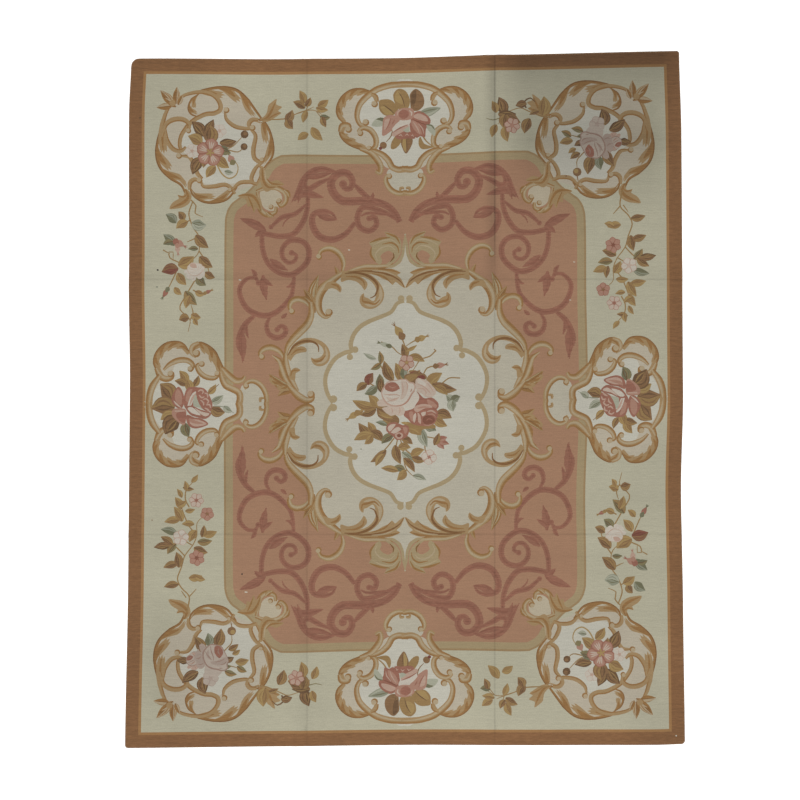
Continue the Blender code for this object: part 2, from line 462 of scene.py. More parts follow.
# The red scrolls. Two close shades of faded red on the terracotta, with stepped edges where the weaver
# turned each colour back on itself. One quarter is drawn and mirrored. Columns: width in squares, the
# shares of it at the start and the end, and the line.
RED_SCROLLS = [
    (7.5, 0.7, 0.6, [(399.5, 222), (394, 212), (384, 204.6), (369, 201), (357.8, 201), (343, 201), (333.8, 193.5),
                     (331, 182.4), (337.5, 174), (346.7, 173.2), (352.3, 180.6), (350.4, 188), (344.9, 188.5),
                     (343, 184.3)]),
    (5.0, 0.4, 0.9, [(354, 184), (360, 190.5), (368, 198)]),
    (5.2, 0.6, 0.9, [(396, 219), (384, 212), (369, 207.5), (361.5, 208.3), (357.3, 217.5), (359.7, 227), (369, 231),
                     (376.3, 225), (374.5, 217.5), (369, 218.5)]),
    (3.0, 0.5, 0.6, [(361, 216), (369, 213), (388, 214.8)]),
    (6.2, 0.6, 0.3, [(355, 222.5), (345, 234.2), (332, 239.7), (319, 236), (312.5, 225), (313.4, 214.8),
                     (322.7, 211), (332, 213.5), (336, 219.5)]),
    (6.0, 0.4, 0.1, [(337, 172.5), (322.7, 169), (311.6, 172.2), (303.3, 180.6), (298.6, 189.8), (291.5, 202.5)]),
    (5.0, 0.4, 0.4, [(331, 177.8), (319, 183.3), (309.7, 188.5), (304.5, 185.5), (307, 175.5)]),
    (7.0, 0.1, 0.1, [(294, 201), (301, 195), (308, 194), (323.5, 197.5)]),
    (5.2, 0.7, 0.8, [(307.9, 197), (307, 210), (302.3, 223), (293, 234.2), (280.2, 236.4), (267.2, 234.2),
                     (260, 232)]),
    (4.6, 0.5, 0.6, [(306, 204.6), (295, 213.9), (282, 217.5), (271, 227)]),
    (1.5, 0.8, 0.4, [(290.5, 216.5), (284.5, 222), (282.5, 227)]),
    (5.2, 0.8, 0.6, [(261.7, 234), (262.6, 249), (267.2, 262), (276.5, 271.2), (289.4, 274.9), (300.5, 269.3),
                     (307.9, 260), (308.4, 249), (302.3, 241.6), (291.2, 240.2), (283, 247.2), (282.3, 256.4),
                     (287.6, 262.4), (294.4, 261), (296.2, 255.5), (291.5, 252.8)]),
    (5.2, 0.6, 0.5, [(294, 276), (293, 288), (289.4, 299), (276.5, 311.9), (263.5, 315.6), (248.7, 310),
                     (241.3, 299), (239.8, 287.8), (246.9, 279), (255, 278), (258.5, 283)]),
    (3.0, 0.2, 0.6, [(286, 287), (290, 286), (293.5, 281)]),
    (4.0, 0.2, 0.6, [(251.5, 269.5), (254.5, 273), (256, 278.5)]),
    (6.0, 0.6, 0.1, [(254, 316), (245.5, 324), (240, 336), (239, 345), (242, 354), (242.5, 362.5)]),
    (5.0, 0.5, 0.7, [(270, 317), (266.5, 325), (269, 334), (276.5, 337.8), (284, 335), (285.6, 329), (281, 326),
                     (277, 329.5)]),
    (3.0, 0.5, 0.1, [(246.5, 325), (246.5, 332), (248.5, 338.5)]),
]
RED_LEAVES = [
    ((306, 178), (333, 172), 6.0), ((303, 187), (298, 203), 5.0), ((266, 231), (240, 218.5), 9.0),
    ((262, 232), (255, 237), 5.0), ((270, 259), (288, 270.5), 7.0), ((263, 275), (266.5, 300), 8.0),
    ((262, 278), (273, 286), 5.0), ((243, 333), (243.5, 361), 8.5), ((316, 213), (337, 220), 7.5),
    ((386, 206), (371, 199), 5.0), ((371, 200), (373, 192.5), 4.0), ((281, 318), (287, 313), 4.0),
]


def stepped(shapes):
    """Moves every second point of a stroke's edge sideways, as the weaver's turned wefts do."""
    steps = []
    for polygon, yarn in shapes:
        nudged = polygon.copy()
        nudged[1::2, 0] += 0.32
        nudged[0::2, 0] -= 0.32
        steps.append((nudged, yarn))
    return steps


red_quarter = []
for width, start, end, line in RED_SCROLLS:
    red_quarter += stepped(ribbon(line, width * 1.12, "faded red", start, end, step=1.25))
    red_quarter += ribbon(line, width * 0.36, "deep red", start, end, step=3.0)
    if end >= 0.5:
        red_quarter += disc(line[-1], width * 0.55, "faded red") + disc(line[-1], width * 0.28, "deep red", corners=7)
for base, tip, width in RED_LEAVES:
    red_quarter += stepped(leaf(base, tip, width, ("faded red", "deep red", "faded red"), 0.12))
weave_four_times(red_quarter)

# The middle medallion. A beige ground held by a wreath of gold acanthus scrolls, dark at the outer
# edge and pale towards the middle. One quarter is drawn. Columns: width, the shares of it at the start
# and the end, the lit side, and the line.
MEDALLION_GROUND = [(406, 234), (403.5, 248), (401, 262), (388, 268), (365, 269), (345, 272), (333, 281),
                    (322, 294), (316, 310), (306, 328), (290, 344), (286, 357), (289, 374), (297, 390), (309, 399),
                    (309, 403)]
ground_even = from_middle(smoothed(MEDALLION_GROUND, 3.0))
woven.append((np.vstack([ground_even, (ground_even * (1, -1))[::-1], ground_even * (-1, -1),
                         (ground_even * (-1, 1))[::-1]]), "beige ground"))

WREATH_STROKES = [
    (5.4, 0.4, 0.5, 1, [(342, 273), (343.5, 263), (339, 253.5), (330, 248.5), (321.5, 250.5), (318, 257)]),
    (7.2, 0.5, 0.3, 1, [(344, 272), (334, 279), (325.6, 286), (320, 294), (318, 303), (320, 312), (325.4, 317),
                        (330.5, 315.5)]),
    (5.0, 0.2, 0.6, 1, [(298, 297.5), (306, 299), (312, 305), (314, 313)]),
    (5.2, 0.3, 0.4, -1, [(311, 309), (306, 302), (298, 299), (291.5, 301.5), (289.5, 307.5), (292, 312.5)]),
    (7.0, 0.5, 0.3, -1, [(310.5, 302), (311.2, 314), (307.5, 323.8), (300, 331.8), (292, 340), (287, 348),
                         (285.5, 358)]),
    (5.4, 0.4, 0.5, -1, [(284.5, 359), (279.7, 351.4), (272, 347.5), (264.5, 348.5), (260, 353), (261.5, 358)]),
    (6.6, 0.5, 0.3, -1, [(285.5, 353), (285.6, 363), (287.6, 373), (292, 382), (298, 391)]),
    (5.4, 0.2, 0.3, 1, [(272.4, 355.3), (279.4, 360.6), (283, 369.5), (286.6, 379), (293, 388)]),
    (6.6, 0.3, 0.3, -1, [(287, 384), (293.4, 391.6), (300, 397.4), (306.4, 400.4), (312, 399), (313.6, 393.6)]),
    (5.0, 0.3, 0.3, 1, [(394.5, 260), (389, 265.3), (377.4, 267), (366, 267), (356.5, 269), (344, 273)]),
]
WREATH_LEAVES = [
    ([(292, 386), (281, 384), (270, 375)], 8.0, 2, -1),
]
# Fronds of the wreath's leaves: base, tip, width and bend.
GOLD = ("scroll ochre", "scroll tan", "scroll brown")
KHAKI = ("scroll ochre", "band khaki", "scroll straw")
STRAW = ("scroll ochre", "scroll straw", "scroll ochre")
WREATH_FRONDS = [
    ((313.5, 308), (318.5, 275), 10.0, -0.3, KHAKI), ((314, 310), (303.5, 289), 7.5, 0.2, GOLD),
    ((318, 298), (325, 281), 5.5, -0.3, STRAW), ((338, 277), (334.5, 266), 4.5, 0.2, GOLD),
    ((291, 389), (269, 374), 9.5, -0.25, KHAKI), ((292, 391), (277.5, 396), 7.0, 0.3, GOLD),
    ((287, 381), (279, 368), 6.0, -0.2, STRAW), ((285, 362), (273, 355), 5.0, -0.3, GOLD),
]
# The wreath's hooked leaves and the curled leaf over it: their outlines, and then the lines on them.
WREATH_PATCHES = [
    ("scroll tan", [(342, 272), (357, 270.6), (369, 274), (378.5, 281.5), (383.4, 290), (383.8, 297.5), (380.9, 303.4),
                    (375, 308), (368.5, 309), (362.3, 306.6), (359.5, 301.5), (360.4, 296), (363.8, 293.2), (364.4, 297),
                    (368, 298.2), (373.4, 301.2), (375.8, 296), (376, 289), (371.8, 282.2), (364.5, 277.6), (354, 276.4),
                    (344, 279)]),
    ("scroll straw", [(379.8, 286), (382.4, 293), (381.4, 300), (376.5, 305.4), (369.5, 306.8), (364, 304), (369, 303.8),
                      (375.4, 301.8), (378.8, 296)]),
    ("scroll tan", [(342.4, 274.5), (352, 274), (361, 277), (366.8, 282), (367.2, 286), (364.2, 290.4), (361.5, 286),
                    (356, 281.6), (348, 280), (341, 282)]),
    ("scroll tan", [(327, 282.6), (334, 281.8), (339.2, 284.6), (341.6, 288.4), (340.1, 292.8), (336.6, 289.8),
                    (331.5, 288.2), (324, 290.4)]),
    ("scroll tan", [(287, 357), (292, 346), (301, 339.2), (311, 337.8), (320.5, 340.6), (327, 346), (330, 353.2),
                    (329, 360.4), (324.2, 365.2), (318, 366.3), (312.8, 363.4), (310.8, 357.4), (314.2, 358.8),
                    (320.1, 357.2), (323.6, 352.4), (321.4, 346.4), (314.6, 343), (305, 343.4), (296, 348), (290, 359)]),
    ("scroll straw", [(325, 346.4), (328, 353.4), (326.8, 359.8), (322, 363.6), (316, 363.4), (321.6, 360.8),
                      (325.6, 355)]),
    ("scroll tan", [(288.6, 356), (294, 349.2), (301, 346.2), (306.2, 348.4), (306, 352), (301, 352.6), (294.8, 355),
                    (290.2, 361)]),
    ("scroll tan", [(289, 378), (290.6, 371), (295.6, 367.6), (300.6, 370.4), (295.8, 373), (294.8, 380)]),
    ("scroll tan", [(346, 271.5), (362, 269.4), (379, 269), (391, 268.6), (400.8, 272.8), (397, 275), (401.4, 279.4),
                    (405, 288), (399.8, 285.2), (395.4, 281.8), (392.6, 285), (388.6, 281.2), (382.6, 278.8),
                    (376, 275.4), (364, 273.2)]),
    ("band khaki", [(384, 266.6), (392, 264.8), (398, 260), (401.4, 253), (402.4, 244), (405.4, 233), (405, 246),
                    (403.6, 256), (399.4, 263.4), (392, 267.8)]),
    ("band khaki", [(384.9, 265.6), (393.4, 262.8), (398.2, 257.8), (401, 251), (401, 242), (397.4, 236.6), (391.8, 233.6),
                    (384.5, 232), (386.8, 237), (378.6, 238), (369, 242.6), (371.8, 246.8), (369.8, 251), (370.4, 256),
                    (374, 261), (380, 264.6), (382, 260.4), (380.2, 256.6), (383.7, 252.6), (388.9, 250.8), (392.6, 253.3),
                    (392.6, 257), (390, 261)]),
]
WREATH_LINES = [
    ("scroll brown", 2.6, [(344.7, 273.4), (356.7, 272.8), (367, 275.4), (374, 280.2), (377.6, 285.6), (377, 291), (374.5, 296),
                           (370, 298)]),
    ("scroll ochre", 2.2, [(380, 299.5), (375, 304), (368.4, 302.6), (362.6, 301), (362.4, 295.6)]),
    ("scroll ochre", 2.0, [(346, 276.6), (356, 277), (363, 281), (364.6, 287)]),
    ("scroll ochre", 2.4, [(331, 284), (337.6, 286), (340, 290.8)]),
    ("scroll brown", 2.6, [(287.6, 355.5), (294.2, 345.6), (304.2, 341.2), (313, 341.9), (318, 346), (318.6, 352)]),
    ("scroll ochre", 2.2, [(325.6, 355.4), (320.6, 360.6), (314.6, 361), (312.2, 359)]),
    ("scroll ochre", 1.8, [(291, 355), (297, 350), (304.6, 349.8)]),
    ("scroll ochre", 1.8, [(290.6, 376), (292.6, 370.8), (299.4, 370.2)]),
    ("scroll brown", 1.9, [(348, 272), (362, 271), (378, 272), (391, 275.6), (400, 281), (404, 287)]),
    ("scroll ochre", 2.2, [(378, 269.4), (389, 269.8), (399.8, 272.8)]),
    ("scroll ochre", 1.8, [(372, 273.4), (384, 277), (391.6, 283.6)]),
    ("scroll straw", 1.4, [(372, 270.8), (385, 271.6), (396, 275.8)]),
    ("scroll ochre", 2.2, [(400, 244), (395.6, 236.8), (385.2, 232.8)]),
    ("scroll ochre", 2.4, [(390, 237.4), (380, 238.8), (369.8, 242.6)]),
    ("scroll ochre", 1.8, [(382, 244.2), (391.4, 242.8), (397.4, 246.8), (398.6, 253)]),
    ("scroll ochre", 2.2, [(371.4, 247), (370.6, 254.6), (375.6, 262)]),
    ("scroll brown", 1.6, [(393, 252.6), (393.8, 257), (390, 262)]),
    ("scroll straw", 1.4, [(372.6, 245.6), (382, 240.8), (392, 240), (398.4, 245)]),
    ("scroll straw", 1.4, [(377.6, 261), (375.4, 254.6), (380.6, 248.2), (389.4, 246), (395.4, 250.4)]),
]
wreath = []
for base, tip, width, bend, yarns in WREATH_FRONDS:
    wreath += leaf(base, tip, width, yarns, bend)
for line, width, lobes, light in WREATH_LEAVES:
    wreath += acanthus(line, width, lobes, light)
for width, start, end, light, line in WREATH_STROKES:
    wreath += gilt(line, width, start, end, light)
for yarn, line in WREATH_PATCHES:
    wreath += patch(line, yarn, 2.2)
for yarn, width, line in WREATH_LINES:
    wreath += ribbon(line, width, yarn, 0.3, 0.3, 0.5, step=2.2)
for centre, radius in [((329, 312.5), 3.8), ((311, 394.5), 3.8), ((319, 257), 3.0), ((262, 357), 3.0), ((292, 311.5), 3.0)]:
    wreath += curl_end(centre, radius)
weave_four_times(wreath)

# The middle panel. Ivory inside a straw line that runs in eight lobes, tied at each meeting by two
# small balls. One quarter of the line is drawn.
PANEL_QUARTER = [(404, 301), (397, 303.5), (391, 312), (380, 317), (369.3, 321.2), (359.7, 327), (353.3, 335.3),
                 (350.6, 344.5), (351.5, 351), (345, 352.6), (335.5, 358.2), (328.9, 367.5), (325.4, 377),
                 (325.6, 387), (328.5, 396), (333, 402.5)]
PANEL_BALLS = [((401, 298.6), 3.4), ((355, 349.6), 3.4), ((349.8, 357), 3.2), ((333.4, 399), 3.8)]
panel_line = smoothed(PANEL_QUARTER, 2.4)
panel_even = from_middle(panel_line)
woven.append((np.vstack([panel_even, (panel_even * (1, -1))[::-1], panel_even * (-1, -1),
                         (panel_even * (-1, 1))[::-1]]), "ivory ground"))
panel = ribbon(PANEL_QUARTER, 4.5, "panel straw", 0.8, 0.9, step=2.4)
for centre, radius in PANEL_BALLS:
    panel += disc(centre, radius, "panel straw")
weave_four_times(panel)

# The middle bouquet. Pale and salmon roses among brown, gold and grey green leaves, drawn once.
LEAF_SHADES = {
    "umber": ("leaf umber", "leaf brown", "leaf ochre"),
    "brown": ("leaf brown", "leaf ochre", "leaf umber"),
    "ochre": ("leaf ochre", "leaf gold", "leaf brown"),
    "gold": ("leaf ochre", "leaf gold", "leaf ochre"),
    "olive": ("leaf olive", "leaf ochre", "leaf umber"),
    "green": ("leaf green", "leaf olive", "leaf umber"),
    "grey": ("leaf green", "leaf grey", "leaf green"),
    "mist": ("leaf grey", "leaf mist", "leaf green"),
    "red": ("rose shadow", "leaf brown", "bud red"),
}
BOUQUET_STEMS = [
    [(397, 330), (403, 341), (406, 352), (407, 366), (409, 382)], [(424, 338), (414, 341), (406, 346)],
    [(381, 342), (391, 346), (397, 352), (403, 356)], [(379, 353), (380, 364), (386, 376)], [(372, 368), (381, 364)],
    [(436, 350), (430, 356), (420, 360), (412, 372)], [(434, 349), (436, 352)],
    [(434, 366), (427, 368), (423, 376), (424, 384)], [(460, 378), (449, 378), (441, 384), (433, 386)],
    [(367, 382), (376, 387), (384, 392)], [(353, 416), (362, 410), (376, 408), (386, 410)],
    [(355, 440), (364, 435), (372, 435), (378, 432)], [(394, 438), (388, 446), (382, 452), (376, 455)],
    [(398, 436), (396, 446), (396, 456)], [(400, 438), (403, 450), (404, 462), (407, 470), (414, 477)],
    [(402, 447), (412, 455), (422, 461)], [(422, 436), (434, 438), (440, 440)], [(425, 440), (425, 450), (428, 456)],
    [(407, 470), (398, 471), (386, 469)],
]
# The leaves, each from base to tip, with its width and family of shades. They overlap as they are listed.
BOUQUET_LEAVES = [
    (376, 359, 363.5, 353, 4.5, "mist"), (380.6, 364, 379.4, 351, 6, "olive"), (381, 363, 370.5, 369.5, 6, "olive"),
    (405, 358, 402, 344, 8.5, "brown"), (409, 356, 424.5, 361.5, 8, "ochre"), (406, 351, 417, 345, 4, "ochre"),
    (393, 381, 384, 361, 10.5, "brown"), (400, 381, 395.5, 363, 10, "ochre"), (404, 379, 405, 366, 7, "grey"),
    (409, 371, 427, 378, 8.5, "ochre"), (407, 380, 425, 375, 11, "red"), (411, 377, 420, 370, 7, "brown"),
    (427, 386, 442, 373, 11, "gold"), (432, 384, 456.5, 390, 10.5, "brown"), (435, 386, 447.5, 395, 8, "ochre"),
    (452, 403, 446, 395, 8, "mist"), (452, 402, 460, 396.5, 8, "grey"), (453, 400, 453, 411.5, 9.5, "mist"),
    (436, 413, 451.5, 418, 10.5, "brown"), (434, 417, 447, 426, 9.5, "ochre"), (425, 428, 436, 430.5, 8, "grey"),
    (421, 428, 427, 447, 10, "mist"), (409, 424, 421, 435, 9.5, "gold"), (405, 424, 411, 432, 7, "brown"),
    (376, 408, 352.5, 400.5, 10, "ochre"), (377, 408, 368.5, 395, 9.5, "gold"), (376, 409, 360, 415, 8, "brown"),
    (396, 419, 375.5, 407, 11, "brown"), (396, 418, 379.5, 423, 9.5, "ochre"), (398, 424, 385, 413, 7, "green"),
    (368, 385, 373, 373, 9.5, "red"), (367, 384, 356.5, 391, 8, "brown"), (377, 386, 364.5, 394, 8.5, "grey"),
    (378, 388, 379.5, 374, 8.5, "green"), (383, 393, 381, 378, 8, "umber"), (387, 425, 375.5, 422, 5, "grey"),
    (372, 436, 358.5, 423, 9.5, "brown"), (373, 435, 368, 422, 8.5, "ochre"), (371, 431, 383, 441.5, 9.5, "brown"),
    (372, 434, 354, 440, 9, "gold"), (372, 435, 364.5, 444, 7.5, "ochre"), (393, 435, 381.5, 443.5, 8.5, "green"),
    (386, 450, 370.5, 462, 8, "brown"), (384, 454, 375.5, 466, 7, "ochre"), (401, 438, 412.5, 444, 7.5, "brown"),
    (395, 445, 400.5, 464, 9.5, "brown"), (398, 448, 410.5, 447.5, 8.5, "ochre"), (402, 452, 417, 462, 8, "mist"),
    (411, 456, 424, 449.5, 8.5, "gold"), (412, 457, 425.5, 460.5, 7.5, "brown"), (404, 458, 414.5, 472, 7.5, "brown"),
    (405, 470, 392.5, 467.5, 7, "green"), (405, 469.5, 397, 480, 8.5, "gold"), (398, 471, 381, 468, 7, "ochre"),
    (413, 475.5, 426, 480, 6, "mist"), (363, 411, 354, 417, 5, "ochre"),
]
BOUQUET_BUDS = [
    ((404, 339.5), (395, 326), 8.0, ("leaf brown", "leaf gold")), ((414.5, 340.5), (426, 336.5), 6.5, ("leaf ochre", "leaf gold")),
    ((392, 347), (380, 343), 5.0, ("leaf green", "leaf mist")), ((360, 411), (348.5, 418.5), 6.5, ("leaf ochre", "leaf gold")),
    ((432.5, 366.5), (445, 364.5), 6.0, ("leaf brown", "rose mid")),
]
# The roses beside the full one: a pale one behind, the salmon one, and the small one below.
BOUQUET_PATCHES = [
    ("leaf brown", [(404, 376), (412, 373), (424.8, 374), (426, 379), (416.1, 381), (414.7, 385), (408, 383)]),
    ("leaf ochre", [(405, 378), (410, 374), (418, 375), (413, 380.4), (408, 382)]),
    ("bud red", [(417, 376.6), (423, 375), (425, 378.4), (419, 379.6)]),
    ("leaf brown", [(376.9, 408.5), (382.2, 411.4), (389.4, 415), (397, 416), (399.4, 420.9), (397, 424), (389.4, 421.9),
                    (383.6, 420), (377.9, 416.1)]),
    ("leaf ochre", [(378.6, 410.6), (386, 413.6), (394, 415.6), (389, 418), (381.6, 415)]),
    ("leaf ochre", [(406, 422), (418.1, 424), (432.4, 423.6), (435.4, 428.1), (422.8, 429.4), (420.4, 434.8), (415.7, 434.6),
                    (409, 432)]),
    ("rose deep", [(416, 391), (423.8, 398), (431.5, 397.4), (436, 400.4), (438.4, 403.4), (438.6, 406.6), (436, 409.5),
                   (430, 409), (420, 412), (412, 410), (414, 400)]),
    ("rose mid", [(427, 399.4), (433, 401.6), (437, 406), (434, 408.4), (428.6, 405)]),
    ("rose pale", [(415.6, 379.6), (418.1, 377.6), (422, 379), (427, 380.4), (430.8, 384.3), (435.2, 389.2), (435.8, 393.4),
                   (432.6, 396.6), (428.6, 397.6), (424.6, 396.6), (421.6, 393.6), (417.8, 392), (415.4, 387.4)]),
    ("rose white", [(418, 379), (422.4, 380.6), (426, 384), (424, 387.4), (419.6, 384.4), (417, 381.6)]),
    ("rose deep", [(413.6, 405.2), (420.9, 403), (432.4, 406.5), (437, 410), (438, 414.2), (436.4, 419), (434.2, 423.6),
                   (427.6, 426.2), (421.9, 425.8), (416.4, 425.2), (411, 423.2), (407.8, 419), (404, 416.1), (404, 411.4),
                   (409.4, 409.8)]),
    ("rose light", [(413.8, 409.6), (415.6, 405.9), (422.8, 403.9), (430, 404.9), (432.2, 407.6), (425.7, 408), (420.9, 410.2),
                    (416.9, 412.3)]),
    ("rose mid", [(416.6, 408.4), (422.6, 406.2), (429, 407), (423.4, 408)]),
    ("rose mid", [(409, 412.4), (412.4, 411.4), (413.4, 416), (412.6, 421.6), (409.8, 418)]),
    ("rose pale", [(415.4, 412.6), (416.2, 416.2), (415.2, 420.8), (414.1, 422.9), (412.8, 419.5), (413.4, 415)]),
    ("rose light", [(417.2, 412.6), (420, 414.9), (421, 420.4), (420.3, 424.1), (418.1, 421.8), (417.7, 417)]),
    ("rose pale", [(420.9, 412.8), (425.9, 411.6), (425.4, 414.7), (422.6, 416.3)]),
    ("rose shadow", [(422.4, 419.4), (424.8, 416.1), (430.5, 415.5), (434.6, 418.1), (433.6, 422.4), (428.6, 424.8),
                     (424.1, 423.5)]),
    ("rose deep", [(386, 427.2), (389, 423), (395.6, 422.2), (402, 425), (407.8, 425.5), (409, 430), (408.2, 434.2),
                   (405.8, 437.3), (400.8, 439.7), (396, 439.7), (392.2, 435.8), (388.3, 433.2), (386, 430.2)]),
    ("rose pale", [(387.5, 428), (390.3, 424.6), (395.6, 424.1), (393.2, 428), (389.6, 431.6)]),
    ("rose pale", [(390.6, 432.6), (394.1, 428.7), (398, 426.9), (401, 429.1), (398, 431.8), (393.7, 433.6)]),
    ("rose mid", [(402.4, 427.2), (406.8, 427.4), (407.4, 431), (405, 434), (403.4, 430)]),
    ("rose light", [(394.6, 434.6), (398.8, 432.2), (403, 434.4), (401.6, 438.2), (397, 438.6)]),
    ("rose shadow", [(396.4, 435), (399, 433.4), (401.4, 435), (400, 437.2), (397.4, 437)]),
    ("leaf gold", [(400.8, 422.6), (404.6, 421.6), (408.4, 423.2), (404.6, 424.6)]),
]
BOUQUET_LINES = [
    ("rose light", 1.3, [(417, 383.6), (422.6, 386), (427.6, 390), (431, 394)]),
    ("rose light", 1.3, [(418, 388.6), (422.8, 388.6), (426, 392), (425, 395.6)]),
    ("rose light", 1.2, [(427, 383), (430.6, 387.6), (433.4, 392)]),
    ("rose light", 1.8, [(426.7, 411.6), (431.5, 410.6), (436.2, 413.6)]),
    ("rose mid", 1.5, [(427.6, 414.6), (432.4, 414), (435.6, 417)]),
    ("rose mid", 1.5, [(423.4, 424.6), (428.6, 425.4), (433, 423.6)]),
    ("rose deep", 1.3, [(426, 420.6), (429, 418.6), (432.4, 420.4)]),
    ("leaf gold", 1.4, [(378, 414), (385, 417), (393, 418.4)]), ("leaf gold", 1.5, [(410, 428.6), (416, 430.6), (419, 433.6)]),
]
bouquet = []
for line in BOUQUET_STEMS:
    bouquet += stem(line)
for number, (x0, y0, x1, y1, width, family) in enumerate(BOUQUET_LEAVES):
    bouquet += leaf((x0, y0), (x1, y1), width, LEAF_SHADES[family], 0.15 if number % 2 else -0.15)
for base, tip, width, yarns in BOUQUET_BUDS:
    bouquet += bud(base, tip, width, yarns)
bouquet += blossom((406.5, 362.5), 7.5, 5, 0.4)
bouquet += painted(BOUQUET_PATCHES, BOUQUET_LINES)
bouquet += rose(ROSE_CENTRE, ROSE_SQUARES)
bouquet += blossom((429, 457), 7.0, 4, 0.2, ("rose light", "rose white"), "rose deep")
for tip in ((444, 449), (449, 444), (447, 437)):
    bouquet += leaf((437, 439), tip, 6.5, ("rose deep", "rose mid", "rose deep"), 0.1)
bouquet += leaf((434, 445), (439, 433), 7.0, LEAF_SHADES["brown"], 0.1)
woven.extend(drawn(bouquet))


def leaf_at(x, y, length, width, angle, family, bend=0.1):
    """A leaf round its middle, pointing clockwise from the right by angle degrees."""
    out = np.array((math.cos(math.radians(angle)), math.sin(math.radians(angle)))) * length * 0.56
    return leaf((x, y) - out, (x, y) + out, width * 1.3, LEAF_SHADES[family], bend)


def petal_at(x, y, length, width, angle, dark, lit):
    """A pointed petal round its middle, with a lit half."""
    out = np.array((math.cos(math.radians(angle)), math.sin(math.radians(angle)))) * length / 2
    return leaf((x, y) - out, (x, y) + out, width, (dark, lit, dark), 0.1)


# The corner cartouches. Two gold acanthus arcs that meet in a small palmette at the outer corner, with
# C scrolls inside them and a shell that reaches into the field. The top left one is drawn.
CORNER_GROUNDS = [
    ("rosy cream", [(175, 100), (190, 93), (206, 89), (222, 88), (238, 92), (250, 103), (258, 119), (267, 126),
                    (273, 145), (271, 160), (262, 172), (256, 184), (240, 190), (226, 199), (206, 200), (192, 190),
                    (184, 186), (170, 177), (160, 166), (157, 151), (160, 134), (165, 116), (168, 106)]),
    ("ivory ground", [(222, 113), (230, 125), (250, 129), (255, 139), (253, 152), (256, 164), (252, 176), (246, 182),
                      (226, 184), (206, 184), (199, 178), (192, 160), (183, 151), (182, 140), (190, 124), (206, 115)]),
    ("scroll pale", [(260, 192), (271, 189), (281, 194), (281, 204), (273, 211), (263, 207)]),
]
CORNER_ARCS = [
    ([(193, 93.5), (206, 89.5), (222, 87.5), (236, 90), (247, 99), (254.5, 109), (262, 119.5)], 13, 3, 1),
    ([(164, 122), (158.5, 137), (156.5, 153), (160, 167), (170, 178), (181, 185), (186, 195)], 13, 3, -1),
    ([(253, 121), (262, 120), (269, 130), (273, 145), (272, 157), (264, 168)], 11, 2, 1),
    ([(189.5, 186), (193, 195), (203, 201.5), (216, 202.5), (228, 198.5), (237, 187)], 11, 2, -1),
    ([(199, 94), (191.5, 99.5), (188.4, 108), (191, 114), (198, 117)], 8.5, 2, -1),
]
# The leaves at the frame's ends and beside its shell: outlines, and then the lines on them.
CORNER_PATCHES = [
    ("scroll tan", [(260, 119.5), (264, 116.5), (267, 112), (268, 106), (271, 102.5), (276.6, 99), (276.2, 104.6),
                    (282, 107), (278, 111), (281.4, 113), (276, 117), (270, 121), (264, 122)]),
    ("scroll tan", [(169.4, 209), (172.6, 202.6), (179, 198.4), (177.4, 194.8), (183.4, 195.6), (186, 189), (191.4, 195),
                    (189.4, 203), (183, 207.4), (177, 208.6)]),
    ("scroll tan", [(262.4, 166), (265, 172), (266.6, 178), (271, 181.6), (277, 180), (284.4, 184.6), (277.6, 186.4),
                    (272.8, 189.4), (266, 191.8), (262, 187), (260, 179), (259.2, 171)]),
    ("scroll tan", [(237.6, 196), (245, 193.2), (252, 193.4), (258.4, 197.2), (260.6, 203), (261.6, 212), (256.6, 208),
                    (254, 213), (251, 206), (247.6, 207), (246, 200), (242, 198)]),
]
CORNER_LINES = [
    ("scroll ochre", 2.4, [(259, 120.8), (266, 118.4), (271, 112), (275.4, 102)]),
    ("scroll ochre", 1.5, [(268, 119), (275, 114.6), (280.6, 112.6)]),
    ("scroll ochre", 3.0, [(185.4, 189), (188, 197), (182.6, 203), (171, 208)]),
    ("scroll ochre", 1.5, [(178, 195.6), (183.5, 197), (188, 193)]),
    ("scroll ochre", 2.4, [(262, 168), (263.2, 180), (268, 187), (276, 187)]),
    ("scroll ochre", 1.8, [(266.4, 178.6), (272, 183.6), (283, 184.6)]),
    ("scroll ochre", 2.6, [(238.6, 195.8), (247, 194.8), (254, 197), (259, 205), (260.6, 211)]),
    ("scroll ochre", 1.8, [(248, 196.6), (251, 203), (253.8, 211)]),
    ("scroll straw", 1.4, [(264.6, 170), (266, 180), (271, 185)]),
]
